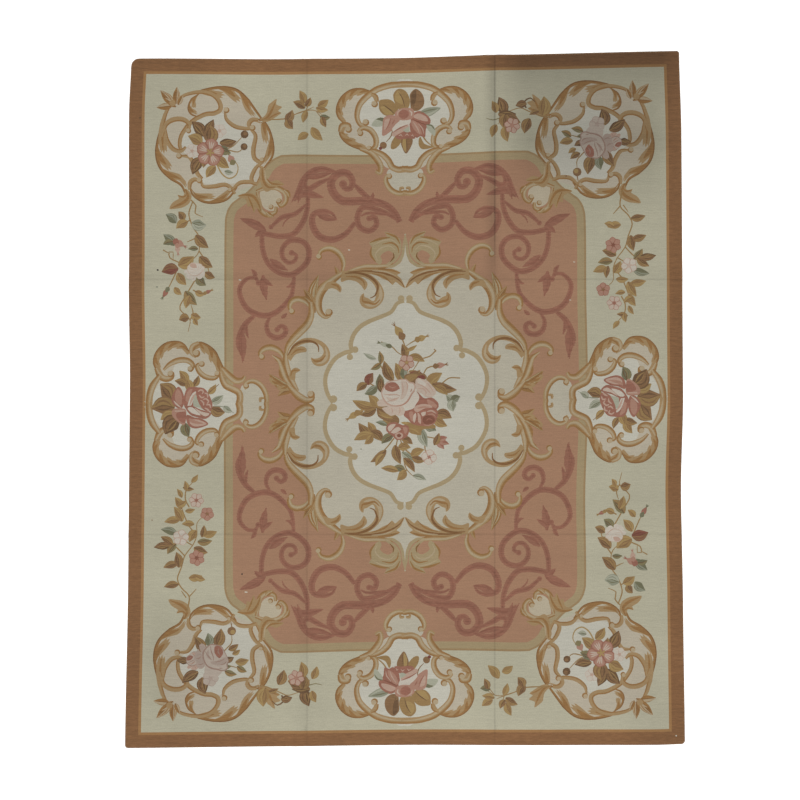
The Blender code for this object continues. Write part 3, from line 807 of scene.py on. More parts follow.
CORNER_STROKES = [
    (4.4, 0.6, 0.8, -1, [(177, 101), (184, 95.5), (195, 92.5), (206, 92.5), (215, 96.5), (220, 103.5), (220, 110),
                         (214, 113.5), (205, 114.5), (192, 121.5), (182, 134), (179.6, 144), (181, 150)]),
    (4.4, 0.6, 0.8, 1, [(169, 107), (165, 115), (161.5, 128), (160.5, 140), (162, 150)]),
    (4.8, 0.4, 0.7, -1, [(162, 137), (166, 124.5), (174, 119.5), (183, 119.5), (189, 124), (188.5, 130)]),
    (4.4, 0.4, 0.6, 1, [(165.5, 129), (167, 140), (173, 149), (181, 151), (186, 147)]),
    (4.0, 0.4, 0.8, -1, [(225, 111), (226.5, 119.5), (235, 126.5), (246, 128.8), (251, 128)]),
    (4.4, 0.6, 0.6, 1, [(249.6, 128), (255.5, 136), (253.3, 149), (254.5, 158.4), (261.7, 162), (267, 156)]),
    (4.0, 0.5, 0.8, 1, [(263, 162), (256, 167.6), (251.5, 177), (252.8, 183), (258, 184)]),
    (4.0, 0.4, 0.6, -1, [(259, 165.5), (263, 170), (261, 177), (257.5, 183)]),
    (4.2, 0.4, 0.8, 1, [(180, 156), (189, 157), (194.8, 165.5), (197, 173), (202, 179)]),
    (4.4, 0.6, 0.7, -1, [(189.5, 190), (190, 183), (194, 179.5), (199, 180)]),
    (4.2, 0.4, 0.6, -1, [(201, 180), (203.5, 186.5), (214, 186.5), (224.5, 184.6), (231, 188), (235, 194)]),
    (4.0, 0.4, 0.7, -1, [(231, 191), (239.5, 183), (250, 182), (257, 184.5)]),
    (4.6, 0.6, 0.7, -1, [(250.5, 129), (248.8, 124), (252, 120), (258, 119.5)]),
    (5.0, 0.5, 0.6, 1, [(256, 191.5), (266, 188), (277, 188), (285, 193), (286, 201), (281, 206), (277, 201)]),
    (5.0, 0.5, 0.6, -1, [(257, 192), (259, 201), (260.5, 210), (267, 215), (275, 212.5), (276, 206.5)]),
]
CORNER_BALLS = [((226.5, 110.3), 3.0), ((179, 156), 3.0), ((252.6, 128), 3.0), ((199.5, 180.5), 3.0),
                ((262, 160), 2.6), ((188.6, 131), 2.6), ((230, 190), 2.4), ((279, 201), 2.8), ((271, 207), 2.6)]
PALMETTE = [((174, 105), (160.5, 90.5), 8.5), ((176, 104), (177, 87), 7.5), ((172, 106), (156.5, 107.5), 7.0),
            ((176, 107), (165, 98), 6.0), ((178, 105), (183, 95), 5.0)]


def grounds_of(table):
    """The plain grounds inside a frame."""
    return [shape for yarn, line in table for shape in patch(line, yarn)]


corner = []
for line, width, lobes, light in CORNER_ARCS:
    corner += acanthus(line, width, lobes, light, end=0.25)
for width, start, end, light, line in CORNER_STROKES:
    corner += gilt(line, width * 0.9, start, end, light)
for centre, radius in CORNER_BALLS:
    corner += curl_end(centre, radius)
for base, tip, width in PALMETTE:
    corner += leaf(base, tip, width, ("scroll ochre", "scroll straw", "scroll brown"))
corner += disc((172.5, 103), 3.2, "scroll tan")
for base, tip, width, bend in [((284, 190), (290, 198), 5, -0.2), ((266, 212), (274, 217), 5, 0.2)]:
    corner += leaf(base, tip, width, ("scroll ochre", "scroll tan", "scroll straw"), bend)
for yarn, line in CORNER_PATCHES:
    corner += patch(line, yarn, 2.2)
for yarn, width, line in CORNER_LINES:
    corner += ribbon(line, width, yarn, 0.4, 0.2, 0.5, step=2.2)
weave_four_times(grounds_of(CORNER_GROUNDS))
weave_four_times(corner)

# The side and end cartouches. A lobed gold frame round an ivory ground, and a small shell towards the
# field. Half of each is drawn, and both are mirrored.
SIDE_GROUNDS = [
    ("rosy cream", [(190, 350), (176.7, 342), (158, 350), (153, 364), (159, 377), (151, 390), (148.8, 404),
                    (148.8, 408.5), (226, 408.5), (240, 404), (239, 392), (226, 385), (220, 372), (213, 352), (200, 343)]),
    ("ivory ground", [(176, 364), (188, 361), (200, 374), (219, 378), (226, 387), (238, 393), (238, 405), (238, 412),
                      (152, 412), (152, 400), (156, 388), (163, 379), (171, 374)]),
    ("beige ground", [(240, 390), (246, 383), (254, 383), (262, 390), (265, 400), (265, 412), (240, 412)]),
]
SIDE_ARCS = [
    ([(190, 353), (184, 344.5), (176.7, 341.8), (166, 343.5), (157, 351.5), (153.8, 361.5), (156.5, 370),
      (161, 376.5)], 8.5, 4, -1),
    ([(193, 347), (199.4, 342.6), (207.5, 345.5), (215, 352), (219.5, 361), (223.5, 369), (230, 376.5)], 9.5, 3, 1),
]
SIDE_STROKES = [
    (5.4, 0.6, 0.7, -1, [(156, 368), (160, 376), (166, 379), (171.5, 377), (172, 372.5)]),
    (5.0, 0.4, 0.7, 1, [(163.5, 370), (169.7, 364), (178.5, 360.2), (187, 360.3), (192.6, 364.5), (191.5, 369.5)]),
    (5.0, 0.5, 0.7, -1, [(196.5, 357), (192, 352.5), (193, 346.5), (199, 343)]),
    (4.6, 0.5, 0.7, -1, [(202, 363.5), (197, 365.5), (199.4, 372), (206, 377), (214.5, 378), (218.5, 374)]),
    (6.0, 0.6, 0.5, 1, [(222, 368), (229, 375.5), (236, 380.8), (242.5, 380), (245, 376)]),
    (5.8, 0.6, 1.0, -1, [(220.4, 371.7), (222, 379), (225.8, 385.7), (232.7, 389), (238.8, 392.7), (240, 399),
                         (238.6, 405.5)]),
    (5.8, 0.6, 1.0, -1, [(160, 375), (153, 385), (149.8, 394.5), (148.9, 405.5)]),
    (4.6, 0.6, 0.9, -1, [(246.5, 389), (244.8, 385), (248.5, 381.6), (254.5, 381.3), (261, 385.5), (265.4, 393),
                         (266.8, 400.6), (266, 405.5)]),
    (2.6, 0.5, 0.7, 1, [(264, 398), (260.2, 398.5), (260.4, 402)]),
]
SIDE_BALLS = [((170.8, 374), 3.4), ((196.5, 353.5), 3.8), ((201.8, 364), 3.0), ((217.4, 373.6), 3.0),
              ((190.4, 369), 3.0), ((246.5, 386), 2.6)]
END_GROUNDS = [
    ("rosy cream", [(371, 91), (358, 89), (345, 93), (337, 107), (342, 122), (340, 130), (345, 142), (359, 149),
                    (377, 156), (384, 166), (392, 169), (411, 169), (411, 90)]),
    ("ivory ground", [(360, 105), (376, 90), (390, 86), (415, 85), (415, 169), (398, 169), (388, 159), (373, 150),
                      (376, 141), (371, 131), (362, 124), (357.5, 113)]),
    ("beige ground", [(388, 170), (387, 182), (396, 192), (415, 192), (415, 169), (400, 169)]),
]
END_ARCS = [
    ([(372, 92), (362, 89), (351, 90.3), (341.5, 97.5), (336.8, 108), (338, 117), (344, 123.5)], 8.5, 4, -1),
    ([(343, 126), (339.6, 132.5), (343, 139.5), (350, 145), (359.5, 149), (369, 152)], 8.0, 3, -1),
]
END_STROKES = [
    (5.4, 0.6, 1.0, 1, [(366, 125.5), (360.5, 125), (357.2, 119), (357.2, 112), (360, 104), (367, 96.3), (376.5, 89.6),
                        (388, 85.8), (397, 84.6), (408, 84.3)]),
    (4.4, 0.4, 0.7, 1, [(371, 93.5), (375.5, 97), (377, 102)]),
    (5.0, 0.5, 0.6, -1, [(349.5, 130.5), (348.5, 125.5), (342, 125.7), (339.7, 132)]),
    (5.0, 0.5, 0.8, -1, [(361, 134), (358.6, 131), (363.5, 128), (370.7, 130.5), (375.6, 138), (375.5, 146),
                         (370.5, 150.5)]),
    (5.4, 0.6, 1.0, 1, [(369, 150), (376, 151.5), (383, 155), (388.5, 160.6), (392, 167), (398, 169.7), (403, 169.3),
                        (408, 168.8)]),
    (5.6, 0.5, 0.6, -1, [(360, 149), (370, 152.5), (376.5, 159), (380.5, 166), (380, 173), (375.5, 171)]),
    (4.8, 0.6, 0.9, 1, [(391, 175), (386.5, 176.5), (386, 182), (390, 189), (396.5, 193), (402, 193.4), (407, 192.4)]),
    (2.6, 0.5, 0.7, -1, [(400, 191.5), (400.6, 188), (404, 188.3)]),
]
END_BALLS = [((365.8, 122.6), 3.4), ((374.6, 104.2), 3.4), ((348.6, 129.6), 3.4), ((360.4, 133.4), 3.0),
             ((369, 148.2), 2.6), ((389.4, 176.4), 2.8)]


def frame_of(arcs, strokes, balls):
    """A cartouche's shapes from its tables."""
    shapes = []
    for line, width, lobes, light in arcs:
        shapes += acanthus(line, width * 1.15, lobes, light, end=0.3, body_share=0.62)
    for width, start, end, light, line in strokes:
        shapes += gilt(line, width, start, end, light)
    for centre, radius in balls:
        shapes += curl_end(centre, radius)
    return shapes


weave_four_times(grounds_of(SIDE_GROUNDS) + grounds_of(END_GROUNDS))
weave_four_times(frame_of(SIDE_ARCS, SIDE_STROKES, SIDE_BALLS))
weave_four_times(frame_of(END_ARCS, END_STROKES, END_BALLS))

# The cartouche bouquets. One open flower with leaves, buds and a tendril in each. Each drawn bouquet
# is woven a second time, turned upside down, in the cartouche across the rug.
side_bouquet = []
for row in [(183, 377, 13, 7, -120, "ochre"), (181, 383, 12, 6, -160, "brown"), (196, 381, 11, 5, -65, "brown"),
            (188, 385, 12, 7, -100, "ochre"), (166, 392, 18, 13, -125, "brown"), (163, 408, 21, 14, 178, "brown"),
            (168, 417, 14, 8, 160, "ochre"), (172, 426, 19, 13, 130, "umber"), (187, 430, 13, 8, 75, "green"),
            (218, 410, 13, 9, 20, "brown"), (217, 399, 13, 6, -30, "mist"), (228, 409, 9, 5, 35, "mist"),
            (212, 389, 11, 5, -50, "gold")]:
    side_bouquet += leaf_at(*row, bend=0.15)
side_bouquet += stem([(202, 399), (211, 391), (219, 384)], 1.2, "leaf brown")
side_bouquet += stem([(214, 406), (224, 407), (234, 413)], 1.0, "leaf grey")
# The petals of the large flower, each a dark outline and then its lit parts.
SIDE_PETALS = [
    ("rose deep", [(178.4, 386.6), (174, 391.6), (171.4, 399), (174, 405.4), (181, 409), (184.4, 401), (182.6, 391.6)]),
    ("rose mid", [(177.4, 389), (175, 394), (175.6, 401), (181, 405), (182, 398), (180.6, 391.6)]),
    ("rose pale", [(173.4, 400.4), (176, 404.8), (182, 408.4), (177.4, 403.6)]),
    ("rose deep", [(186.4, 389.4), (192, 386.8), (199.4, 388), (197.8, 393), (195.4, 399), (193, 406.6), (186, 409),
                   (183.4, 400.6)]),
    ("rose mid", [(187.4, 391.6), (192.4, 388.8), (190.4, 395.6), (187.8, 402.4), (185.4, 400.6)]),
    ("rose white", [(196.4, 391.4), (193.8, 399), (190.8, 406), (187.4, 406.6), (189.4, 399), (192.4, 393.4)]),
    ("rose light", [(196, 393), (193, 399.6), (189.4, 405.4), (191.4, 397.6)]),
    ("rose mid", [(173.6, 409), (184.7, 408.8), (186.4, 414.9), (184.6, 424.6), (178, 422), (172, 415)]),
    ("rose deep", [(176, 413.6), (185.4, 412), (185, 422.4), (179, 420.4)]),
    ("rose light", [(174.4, 410.2), (184.4, 410.2), (184, 411.4), (175, 411.8)]),
    ("rose deep", [(187, 414.6), (194.2, 417.4), (201.8, 418.6), (208.4, 423.9), (201.6, 427.4), (194.6, 428.4), (189, 426),
                   (186.4, 420.8)]),
    ("rose light", [(190.6, 419.4), (199.6, 420), (206.6, 423.8), (200.4, 426), (194.6, 426.4), (190, 423.6)]),
    ("rose mid", [(189, 418), (198, 421.6), (204, 423.6), (196, 423.8), (190.4, 422)]),
    ("rose deep", [(185.4, 407.4), (192, 405.6), (200, 409.4), (211.2, 413), (206, 418.8), (198.6, 417.6), (190.6, 415)]),
    ("rose white", [(187.4, 408.2), (192, 407.2), (197.6, 411.6), (200.6, 415.4), (192, 413.2)]),
    ("rose pale", [(194.4, 407.6), (201, 411.4), (209.4, 413.6), (205.4, 416.4), (199.4, 413.2)]),
]
side_bouquet += painted(SIDE_PETALS, [], 2.4)
side_bouquet += patch([(194, 397), (198, 394), (203, 401), (205, 409), (199, 407.6), (193.4, 405.6)], "leaf mist", 2.6)
side_bouquet += patch([(196.6, 388), (204, 388.4), (209, 394.6), (212.4, 404), (210.4, 411.4), (203.4, 409.6), (199, 403.6),
                       (196.4, 396)], "rose deep", 2.6)
SIDE_FRILLS = [
    [(198, 391.6), (200.6, 389.8), (203.4, 391.4), (202, 394)], [(204.4, 393), (207.4, 394), (207.6, 397.6)],
    [(199, 395), (201.6, 397.6), (204.4, 396.6)], [(203, 399.6), (206, 398.6), (208.6, 401.4), (206.8, 403.6)],
    [(200.4, 400), (203.4, 402.6), (203.6, 405.6)], [(206, 405), (209.6, 404.6), (210.6, 408)],
    [(204.6, 408), (207.6, 409.4), (209.6, 411.6)],
]
for line in SIDE_FRILLS:
    side_bouquet += ribbon(line, 1.7, "rose light", 0.5, 0.4, 0.5, step=1.8)
weave_and_turn(side_bouquet)

end_bouquet = []
end_bouquet += stem([(393, 127), (391, 136), (386, 142)], 1.2, "leaf brown")
end_bouquet += stem([(420, 132), (426, 141), (433, 147)], 1.4, "leaf ochre")
END_PATCHES = [
    ("leaf ochre", [(394.2, 101.8), (393.3, 94.1), (398.4, 88.8), (405.4, 91), (409.2, 97.6), (409.6, 104.6), (406, 110),
                    (398, 109)]),
    ("leaf gold", [(395.6, 101), (395.2, 95), (398.6, 90.6), (401, 96), (402.6, 104)]),
    ("leaf brown", [(411, 109), (410, 100.4), (410, 94.1), (415.3, 88.9), (421.1, 92.5), (424, 99), (423.2, 106.1), (417, 111)]),
    ("leaf umber", [(411.4, 106), (411, 99), (411.4, 94), (415.3, 90), (416, 97), (413.6, 104)]),
    ("leaf ochre", [(379.5, 100.4), (387.9, 99.3), (393.5, 102), (398, 109), (393.5, 115), (385.1, 115.6), (379.9, 111),
                    (378.6, 106)]),
    ("leaf gold", [(380.4, 107), (386, 106.6), (392.6, 113.6), (385.4, 114.4)]),
    ("leaf grey", [(419, 113), (427.2, 107.8), (440.4, 107.8), (434.2, 113.8), (427.9, 117), (423, 117)]),
    ("leaf mist", [(424, 114.6), (431, 112.4), (438.6, 108.8), (433.6, 113.2), (428, 116)]),
    ("leaf mist", [(371.4, 125.4), (376.7, 118.4), (385, 118.4), (385, 124.6), (378.1, 126.8)]),
    ("leaf green", [(376, 119.6), (380.4, 117.4), (385, 119), (384, 122), (379.6, 120.4)]),
    ("leaf mist", [(425, 124.6), (431, 124.4), (435, 128.5), (434.6, 136), (428.6, 131)]),
    ("leaf ochre", [(398.6, 133), (391.9, 141.1), (390.9, 148.8), (395.8, 148.4), (401, 142.5), (404, 136)]),
    ("leaf brown", [(403.4, 136), (411.5, 137), (412.2, 143.9), (406.1, 153.7), (401.6, 146.8), (401, 141.1)]),
    ("leaf gold", [(403, 139), (405.6, 139), (405.8, 152), (402.4, 146)]),
    ("leaf ochre", [(420, 136.6), (424.4, 143.9), (433.4, 147.1), (422.3, 149.3), (418.4, 143.9)]),
    ("rose mid", [(384, 117.6), (392.1, 115), (400, 119.4), (394.4, 126.4), (391.4, 131), (382.6, 136), (382.4, 127.1)]),
    ("rose light", [(385.4, 119.6), (390.4, 118.8), (388.4, 124.6), (384.4, 130), (384, 124)]),
    ("rose deep", [(411, 117), (414.6, 112.5), (420.2, 111.1), (426.7, 114.8), (430.5, 120.1), (428.8, 125), (420.2, 124),
                   (412.6, 121)]),
    ("rose light", [(413.2, 117), (418, 113.4), (425.6, 116.4), (427.8, 121.2), (420.6, 120.4)]),
    ("rose deep", [(409.8, 118.6), (417.4, 120.4), (426.3, 124.8), (425.6, 130), (424.8, 137.4), (420.2, 136), (416.7, 138),
                   (411.4, 134), (409.4, 126.4)]),
    ("rose mid", [(411, 120.8), (415.6, 121.6), (420.2, 128), (421.6, 134.6), (417, 133), (412.6, 127.6)]),
    ("rose deep", [(395, 134), (403.3, 131), (412, 132.6), (415, 138.6), (408, 138.4), (401.6, 139.4), (396.4, 138.6)]),
    ("rose white", [(392, 128.8), (399.1, 121.4), (409.9, 118.6), (409.2, 124.5), (400.5, 127.6), (392.6, 132)]),
    ("rose light", [(392.1, 132.7), (400.5, 128.3), (408.4, 124.6), (407, 129.6), (399.6, 133.4), (393.3, 136.8)]),
    ("leaf mist", [(402.8, 130.6), (408.9, 126.8), (409, 132), (405.6, 132.2)]),
    ("rose mid", [(394.5, 113.8), (399, 109.2), (406.1, 107.8), (412.9, 109.2), (414.3, 114.5), (411.3, 119.1), (403.3, 120.5),
                  (397.5, 119)]),
    ("rose deep", [(398.8, 113), (402.6, 109.8), (408, 111.4), (408.6, 115.6), (404.4, 119), (399.6, 117.4)]),
]
END_LINES = [
    ("leaf umber", 1.0, [(398.4, 92), (402.6, 99), (404.6, 107)]), ("leaf umber", 1.2, [(416, 91), (415.2, 100), (413, 107.6)]),
    ("leaf umber", 1.1, [(383, 105), (389, 109), (394.4, 114)]), ("leaf green", 1.4, [(420.6, 112.6), (428.4, 110.4), (436.6, 109)]),
    ("leaf green", 1.4, [(426, 124.6), (431.6, 125.6), (434.6, 130)]), ("leaf umber", 1.0, [(406.4, 140), (407, 150)]),
    ("rose deep", 1.3, [(390.6, 118), (389, 124), (385.6, 130)]), ("rose deep", 1.2, [(394.6, 119.6), (392, 124.6)]),
    ("rose deep", 1.4, [(392.6, 132.6), (400, 128), (408, 124.6)]), ("rose light", 1.3, [(413, 122), (417.6, 128.6), (419.4, 134)]),
    ("rose light", 1.2, [(418, 123.4), (422.6, 129), (423.4, 134)]), ("rose shadow", 1.4, [(412.6, 119.4), (420, 122.6), (427, 125)]),
    ("rose pale", 1.6, [(409, 110.4), (411.6, 112.6), (411, 116)]), ("rose light", 1.5, [(397, 115.6), (398, 111.6), (402, 109.4)]),
    ("rose light", 1.5, [(398.6, 136), (400.8, 134.6), (402.4, 136.6)]), ("rose light", 1.4, [(405, 135.6), (407, 134), (408.8, 136)]),
    ("rose light", 1.4, [(411, 136), (412.4, 134.8), (413.6, 137)]),
]
end_bouquet += painted(END_PATCHES, END_LINES)
end_bouquet += disc((383.2, 145.4), 3.6, "leaf brown") + disc((380.4, 148.4), 1.7, "bud red")
weave_and_turn(end_bouquet)

# The corner bouquets. A pink open flower in one pair of corners, and a pale rose in the other.
pink_corner = []
pink_corner += stem([(222, 151), (233, 146), (243, 136)], 1.2) + stem([(228, 150), (238, 152), (244, 147)], 1.2)
pink_corner += stem([(217, 165), (222, 174), (229, 178.5), (236, 175), (238, 167), (234, 160)], 1.4, "leaf gold")
pink_corner += blossom((219.5, 131), 6.5, 5, 0.2, ("rose pale", "rose white"), "rose light")
pink_corner += blossom((192, 151), 6.5, 5, 0.7, ("rose pale", "rose white"), "rose light")
for row in [(198, 129, 17, 9, -130, "umber"), (209, 126, 14, 7, -55, "umber"), (209, 134, 16, 12, -85, "brown"),
            (195, 140, 14, 9, -150, "ochre"), (228, 142, 15, 7, -5, "umber"), (225, 150, 12, 7, 30, "green"),
            (223, 162, 15, 8, 45, "ochre"), (197, 166, 17, 9, 118, "umber"), (211, 172, 13, 7, 130, "ochre"),
            (229, 172, 8, 4, 10, "mist"), (205, 163, 9, 5, 110, "brown")]:
    pink_corner += leaf_at(*row, bend=0.12)
pink_corner += disc((244.5, 134.5), 4.0, "leaf umber") + disc((245.3, 133.6), 2.2, "leaf brown", corners=7)
pink_corner += disc((244, 146.8), 3.6, "leaf umber") + disc((244.6, 146), 1.9, "leaf brown", corners=7)
pink_corner += bud((234, 165), (229, 155), 7.0, ("leaf olive", "rose mid"))
pink_corner += blossom((210, 152.5), 13.0, 5, -1.4, ("rose deep", "rose mid"), "leaf gold", "rose pale")
weave_and_turn(pink_corner)

rose_corner = []
rose_corner += stem([(584, 152), (577, 160), (577, 168)], 1.2) + stem([(590, 140), (578, 137), (566, 134)], 1.2)
for row in [(603, 117, 15, 9, -100, "umber"), (617, 125, 17, 8, -35, "umber"), (625, 141, 10, 6, 5, "umber"),
            (577, 130, 11, 5, -165, "olive"), (566, 134, 10, 5, -150, "olive"), (566, 142, 12, 6, 170, "ochre"),
            (579, 144, 9, 5, 160, "umber"), (575, 156, 10, 5, 150, "brown"), (590, 165, 17, 9, 105, "brown"),
            (600, 163, 12, 7, 85, "grey"), (609, 158, 17, 8, 60, "brown"), (582, 137, 9, 5, -170, "green"),
            (572, 151, 8, 4, 150, "ochre")]:
    rose_corner += leaf_at(*row, bend=0.12)
rose_corner += disc((577, 172), 4.4, "leaf brown") + disc((576, 171), 2.4, "leaf gold", corners=7)
rose_corner += stem([(577, 176), (578, 181)], 1.2, "leaf brown")
rose_corner += blossom((597, 124), 7.5, 5, 0.6, ("mauve light", "mauve pale"), "mauve light")
rose_corner += rose((613, 142), 9.0, 2.6, ("mauve mid", "rose light", "mauve mid", "mauve pale"), "rose deep")
rose_corner += rose((596, 143), 16.5, -1.9, ("mauve mid", "mauve light", "mauve mid", "mauve pale"), "rose deep")
weave_and_turn(rose_corner)

# The sprays. Loose stems with small leaves, flowers and buds in the cream ground beside each corner.
# All four are drawn at the top, and each is woven again, turned upside down, at the foot.
SIDE_SPRAY_STEMS = [
    [(193, 201), (189, 212), (190, 220), (194, 229), (199, 237), (199, 251), (193, 259), (183, 264)],
    [(190, 220), (184, 224)], [(199, 251), (206, 262), (210, 276)], [(191, 200), (196, 206), (195, 213), (203, 217)],
    [(183, 265), (178, 262), (170, 258), (169, 252), (173, 252), (173, 259)], [(163, 250), (170, 254)],
    [(178, 268), (172, 281), (167, 291)], [(197, 277), (188, 292), (180, 306), (182, 312), (190, 320), (188, 332)],
    [(193, 290), (201, 294), (210, 291)], [(184, 322), (183, 314)], [(190, 320), (193, 313), (191, 305)],
    [(196, 238), (187, 242)],
]
SIDE_SPRAY_LEAVES = [
    (171, 218.5, 12, 7, -140, "grey"), (181, 216, 9, 6, -120, "brown"), (182, 225, 12, 7, 150, "ochre"),
    (199, 224, 13, 9, 10, "mist"), (202, 241.5, 16, 8, 45, "brown"), (193, 249, 9, 4, 180, "green"),
    (169, 240, 14, 7, -135, "grey"), (168, 243, 9, 5, 165, "green"), (186, 261, 16, 10, -30, "ochre"),
    (206, 262, 15, 8, 40, "brown"), (170, 270.5, 15, 9, 170, "red"), (182, 279, 13, 7, 55, "ochre"),
    (210, 275, 10, 6, 30, "brown"), (201.5, 281, 11, 7, 45, "green"), (178, 291, 9, 5, 45, "ochre"),
    (191, 298, 16, 8, 50, "olive"), (188, 302, 12, 6, 110, "ochre"), (184, 319, 9, 7, 170, "brown"),
    (196, 316, 9, 6, 20, "ochre"), (196, 322, 7, 4, 60, "ochre"), (200, 293, 9, 5, 20, "ochre"),
]
spray = []
for line in SIDE_SPRAY_STEMS:
    spray += stem(line)
for row in SIDE_SPRAY_LEAVES:
    spray += leaf_at(*row, bend=0.12)
spray += bud((173, 240), (184, 246), 7.0, ("rose deep", "rose mid")) + bud((177, 243), (178, 253), 5.5, ("rose mid", "rose light"))
spray += bud((169, 287), (163, 297), 5.0, ("leaf green", "rose deep")) + bud((203, 294), (211, 290.5), 4.0, ("leaf ochre", "rose deep"))
spray += rose((195, 271.5), 9.5, 0.3, ("rose light", "rose white", "rose pale", "rose white"), "rose light")
weave_and_turn(spray)

RIGHT_SPRAY_STEMS = [
    [(622, 190), (620, 206), (628, 215), (632, 224), (628, 236), (625, 247), (617, 258), (613, 268), (613, 280),
     (606, 288)], [(625, 247), (634, 256), (644, 260)], [(613, 268), (621, 277), (626, 288), (630, 300)],
    [(621, 296), (625, 304), (624, 314), (617, 322)], [(620, 206), (613, 214)], [(630, 300), (633, 305)],
    [(623, 205), (628, 212)], [(618, 258), (628, 264)],
]
RIGHT_SPRAY_LEAVES = [
    (638, 217, 13, 6, -10, "brown"), (614, 226, 12, 6, 170, "ochre"), (609, 225, 9, 5, -160, "ochre"),
    (639, 237, 13, 6, -15, "brown"), (632, 243, 14, 7, 80, "brown"), (609, 253, 13, 7, -160, "brown"),
    (638, 254, 12, 6, -50, "olive"), (648, 256, 14, 6, -5, "umber"), (643, 262, 13, 6, 35, "brown"),
    (641, 271.5, 15, 6, 15, "grey"), (605, 262, 13, 6, 175, "olive"), (617, 267, 12, 7, -60, "ochre"),
    (600, 270, 13, 6, 165, "gold"), (607, 272, 11, 5, 100, "brown"), (622, 279, 11, 5, 0, "ochre"),
    (638, 282, 14, 6, -8, "ochre"), (632, 289, 15, 7, 60, "ochre"), (620, 293, 9, 4, 170, "ochre"),
    (632, 300, 12, 6, 60, "ochre"), (628, 300, 9, 5, 150, "ochre"), (631, 310, 9, 4, 60, "ochre"),
    (622, 315, 10, 4, -170, "brown"), (616, 325, 9, 4, 130, "gold"), (625, 318, 8, 4, 80, "ochre"),
]
right_spray = []
for line in RIGHT_SPRAY_STEMS:
    right_spray += stem(line)
for row in RIGHT_SPRAY_LEAVES:
    right_spray += leaf_at(*row, bend=0.12)
right_spray += blossom((613, 245), 7.5, 6, 0.4, ("rose deep", "rose mid"), "rose shadow")
right_spray += blossom((603, 289.5), 6.5, 5, 0.9, ("rose deep", "rose mid"), "leaf brown")
right_spray += blossom((614, 303), 7.0, 6, 0.1, ("rose mid", "rose pale"), "rose deep")
right_spray += blossom((629, 265.5), 7.5, 5, 0.5, ("rose light", "rose white"), "rose pale")
weave_and_turn(right_spray)

top_spray = stem([(262, 119.5), (284, 119), (296, 114), (307, 110.5), (316, 111), (325, 117)], 1.2)
top_spray += stem([(306, 111), (309, 102)], 1.0) + stem([(296, 114), (304, 111.5), (314, 107)], 1.0)
top_spray += stem([(316, 111), (322, 119)], 1.0)
for row in [(289, 116, 12, 7, -60, "brown"), (290, 124, 10, 7, 60, "brown"), (299, 105, 12, 6, -150, "brown"),
            (302, 97, 12, 6, -110, "ochre"), (308, 102, 9, 5, -60, "brown"), (323, 103, 11, 6, -30, "ochre"),
            (322, 109, 11, 5, 10, "ochre"), (325, 117, 9, 5, 5, "green"), (324, 122, 10, 5, 70, "brown"),
            (305, 117, 11, 5, 110, "gold"), (317, 134, 15, 7, 50, "gold"), (303, 137, 11, 6, 150, "gold")]:
    top_spray += leaf_at(*row, bend=0.12)
weave_and_turn(top_spray)

top_right_spray = stem([(552, 117), (542, 116.5), (530, 112), (520, 108), (507, 112)], 1.2)
top_right_spray += stem([(526, 108), (524, 102), (530, 98), (535, 102)], 1.6, "leaf umber")
top_right_spray += stem([(500, 118), (493, 120), (486, 118.5)], 1.0, "leaf olive") + stem([(507, 112), (498, 124)], 1.0)
for row in [(521, 105, 10, 6, 170, "umber"), (501, 106, 16, 9, -105, "umber"), (494, 107, 11, 6, -110, "ochre"),
            (507, 114, 16, 8, 0, "umber"), (514, 119, 13, 8, 30, "brown"), (527, 126, 14, 8, 110, "brown"),
            (506, 134, 14, 7, 80, "ochre"), (494, 131, 12, 6, 110, "ochre"), (504, 121, 12, 7, 100, "brown"),
            (534, 113, 9, 4, 160, "brown"), (543, 106, 17, 10, -85, "ochre")]:
    top_right_spray += leaf_at(*row, bend=0.12)
top_right_spray += blossom((512, 125.5), 7.5, 6, 0.2, ("rose deep", "rose light"), "rose mid")
weave_and_turn(top_right_spray)

# The flecks. Small repairs and marks that the years left: dark flecks, and pale stitches of mending
# thread. Columns: the yarn, its place, its size, and how far it stretches along the weft.
FLECKS = [
    ("leaf umber", (140, 118), 0.9, 1.3), ("spot black", (157.7, 270), 0.9, 1.2), ("leaf grey", (157, 287), 0.9, 1.4),
    ("spot black", (242, 574), 0.8, 1.0), ("thread white", (246, 592), 0.7, 2.4), ("thread white", (240, 280), 0.6, 2.6),
    ("thread white", (349, 250), 0.6, 2.0), ("leaf grey", (361, 449), 0.7, 1.3), ("thread white", (676, 735.6), 0.7, 1.2),
    ("thread white", (684.2, 688), 0.6, 1.6), ("thread white", (684.2, 702), 0.6, 1.6), ("bud red", (566, 176), 0.6, 1.2),
    ("thread white", (574, 262), 0.5, 2.2), ("thread white", (570, 300), 0.5, 2.0), ("leaf brown", (152, 520), 0.6, 1.3),
]
for yarn, centre, size, along in FLECKS:
    woven.extend(drawn(disc(centre, size * along, yarn, 1 / along ** 2 + 0.2, 0.1, 7)))

# The weaving. The sheet is one web of fine triangles. Each shape of the drawing puts its outline into
# the web, and each triangle takes the yarn of the last shape that covers it. The weaver joins colours
# side by side in the same way, so no yarn lies over another.
SELVEDGE_INSET = 0.0011
# The yarns' shades are as the eye sees them in bright studio light, and the wool itself is darker.
DYE_DEPTH = 0.585


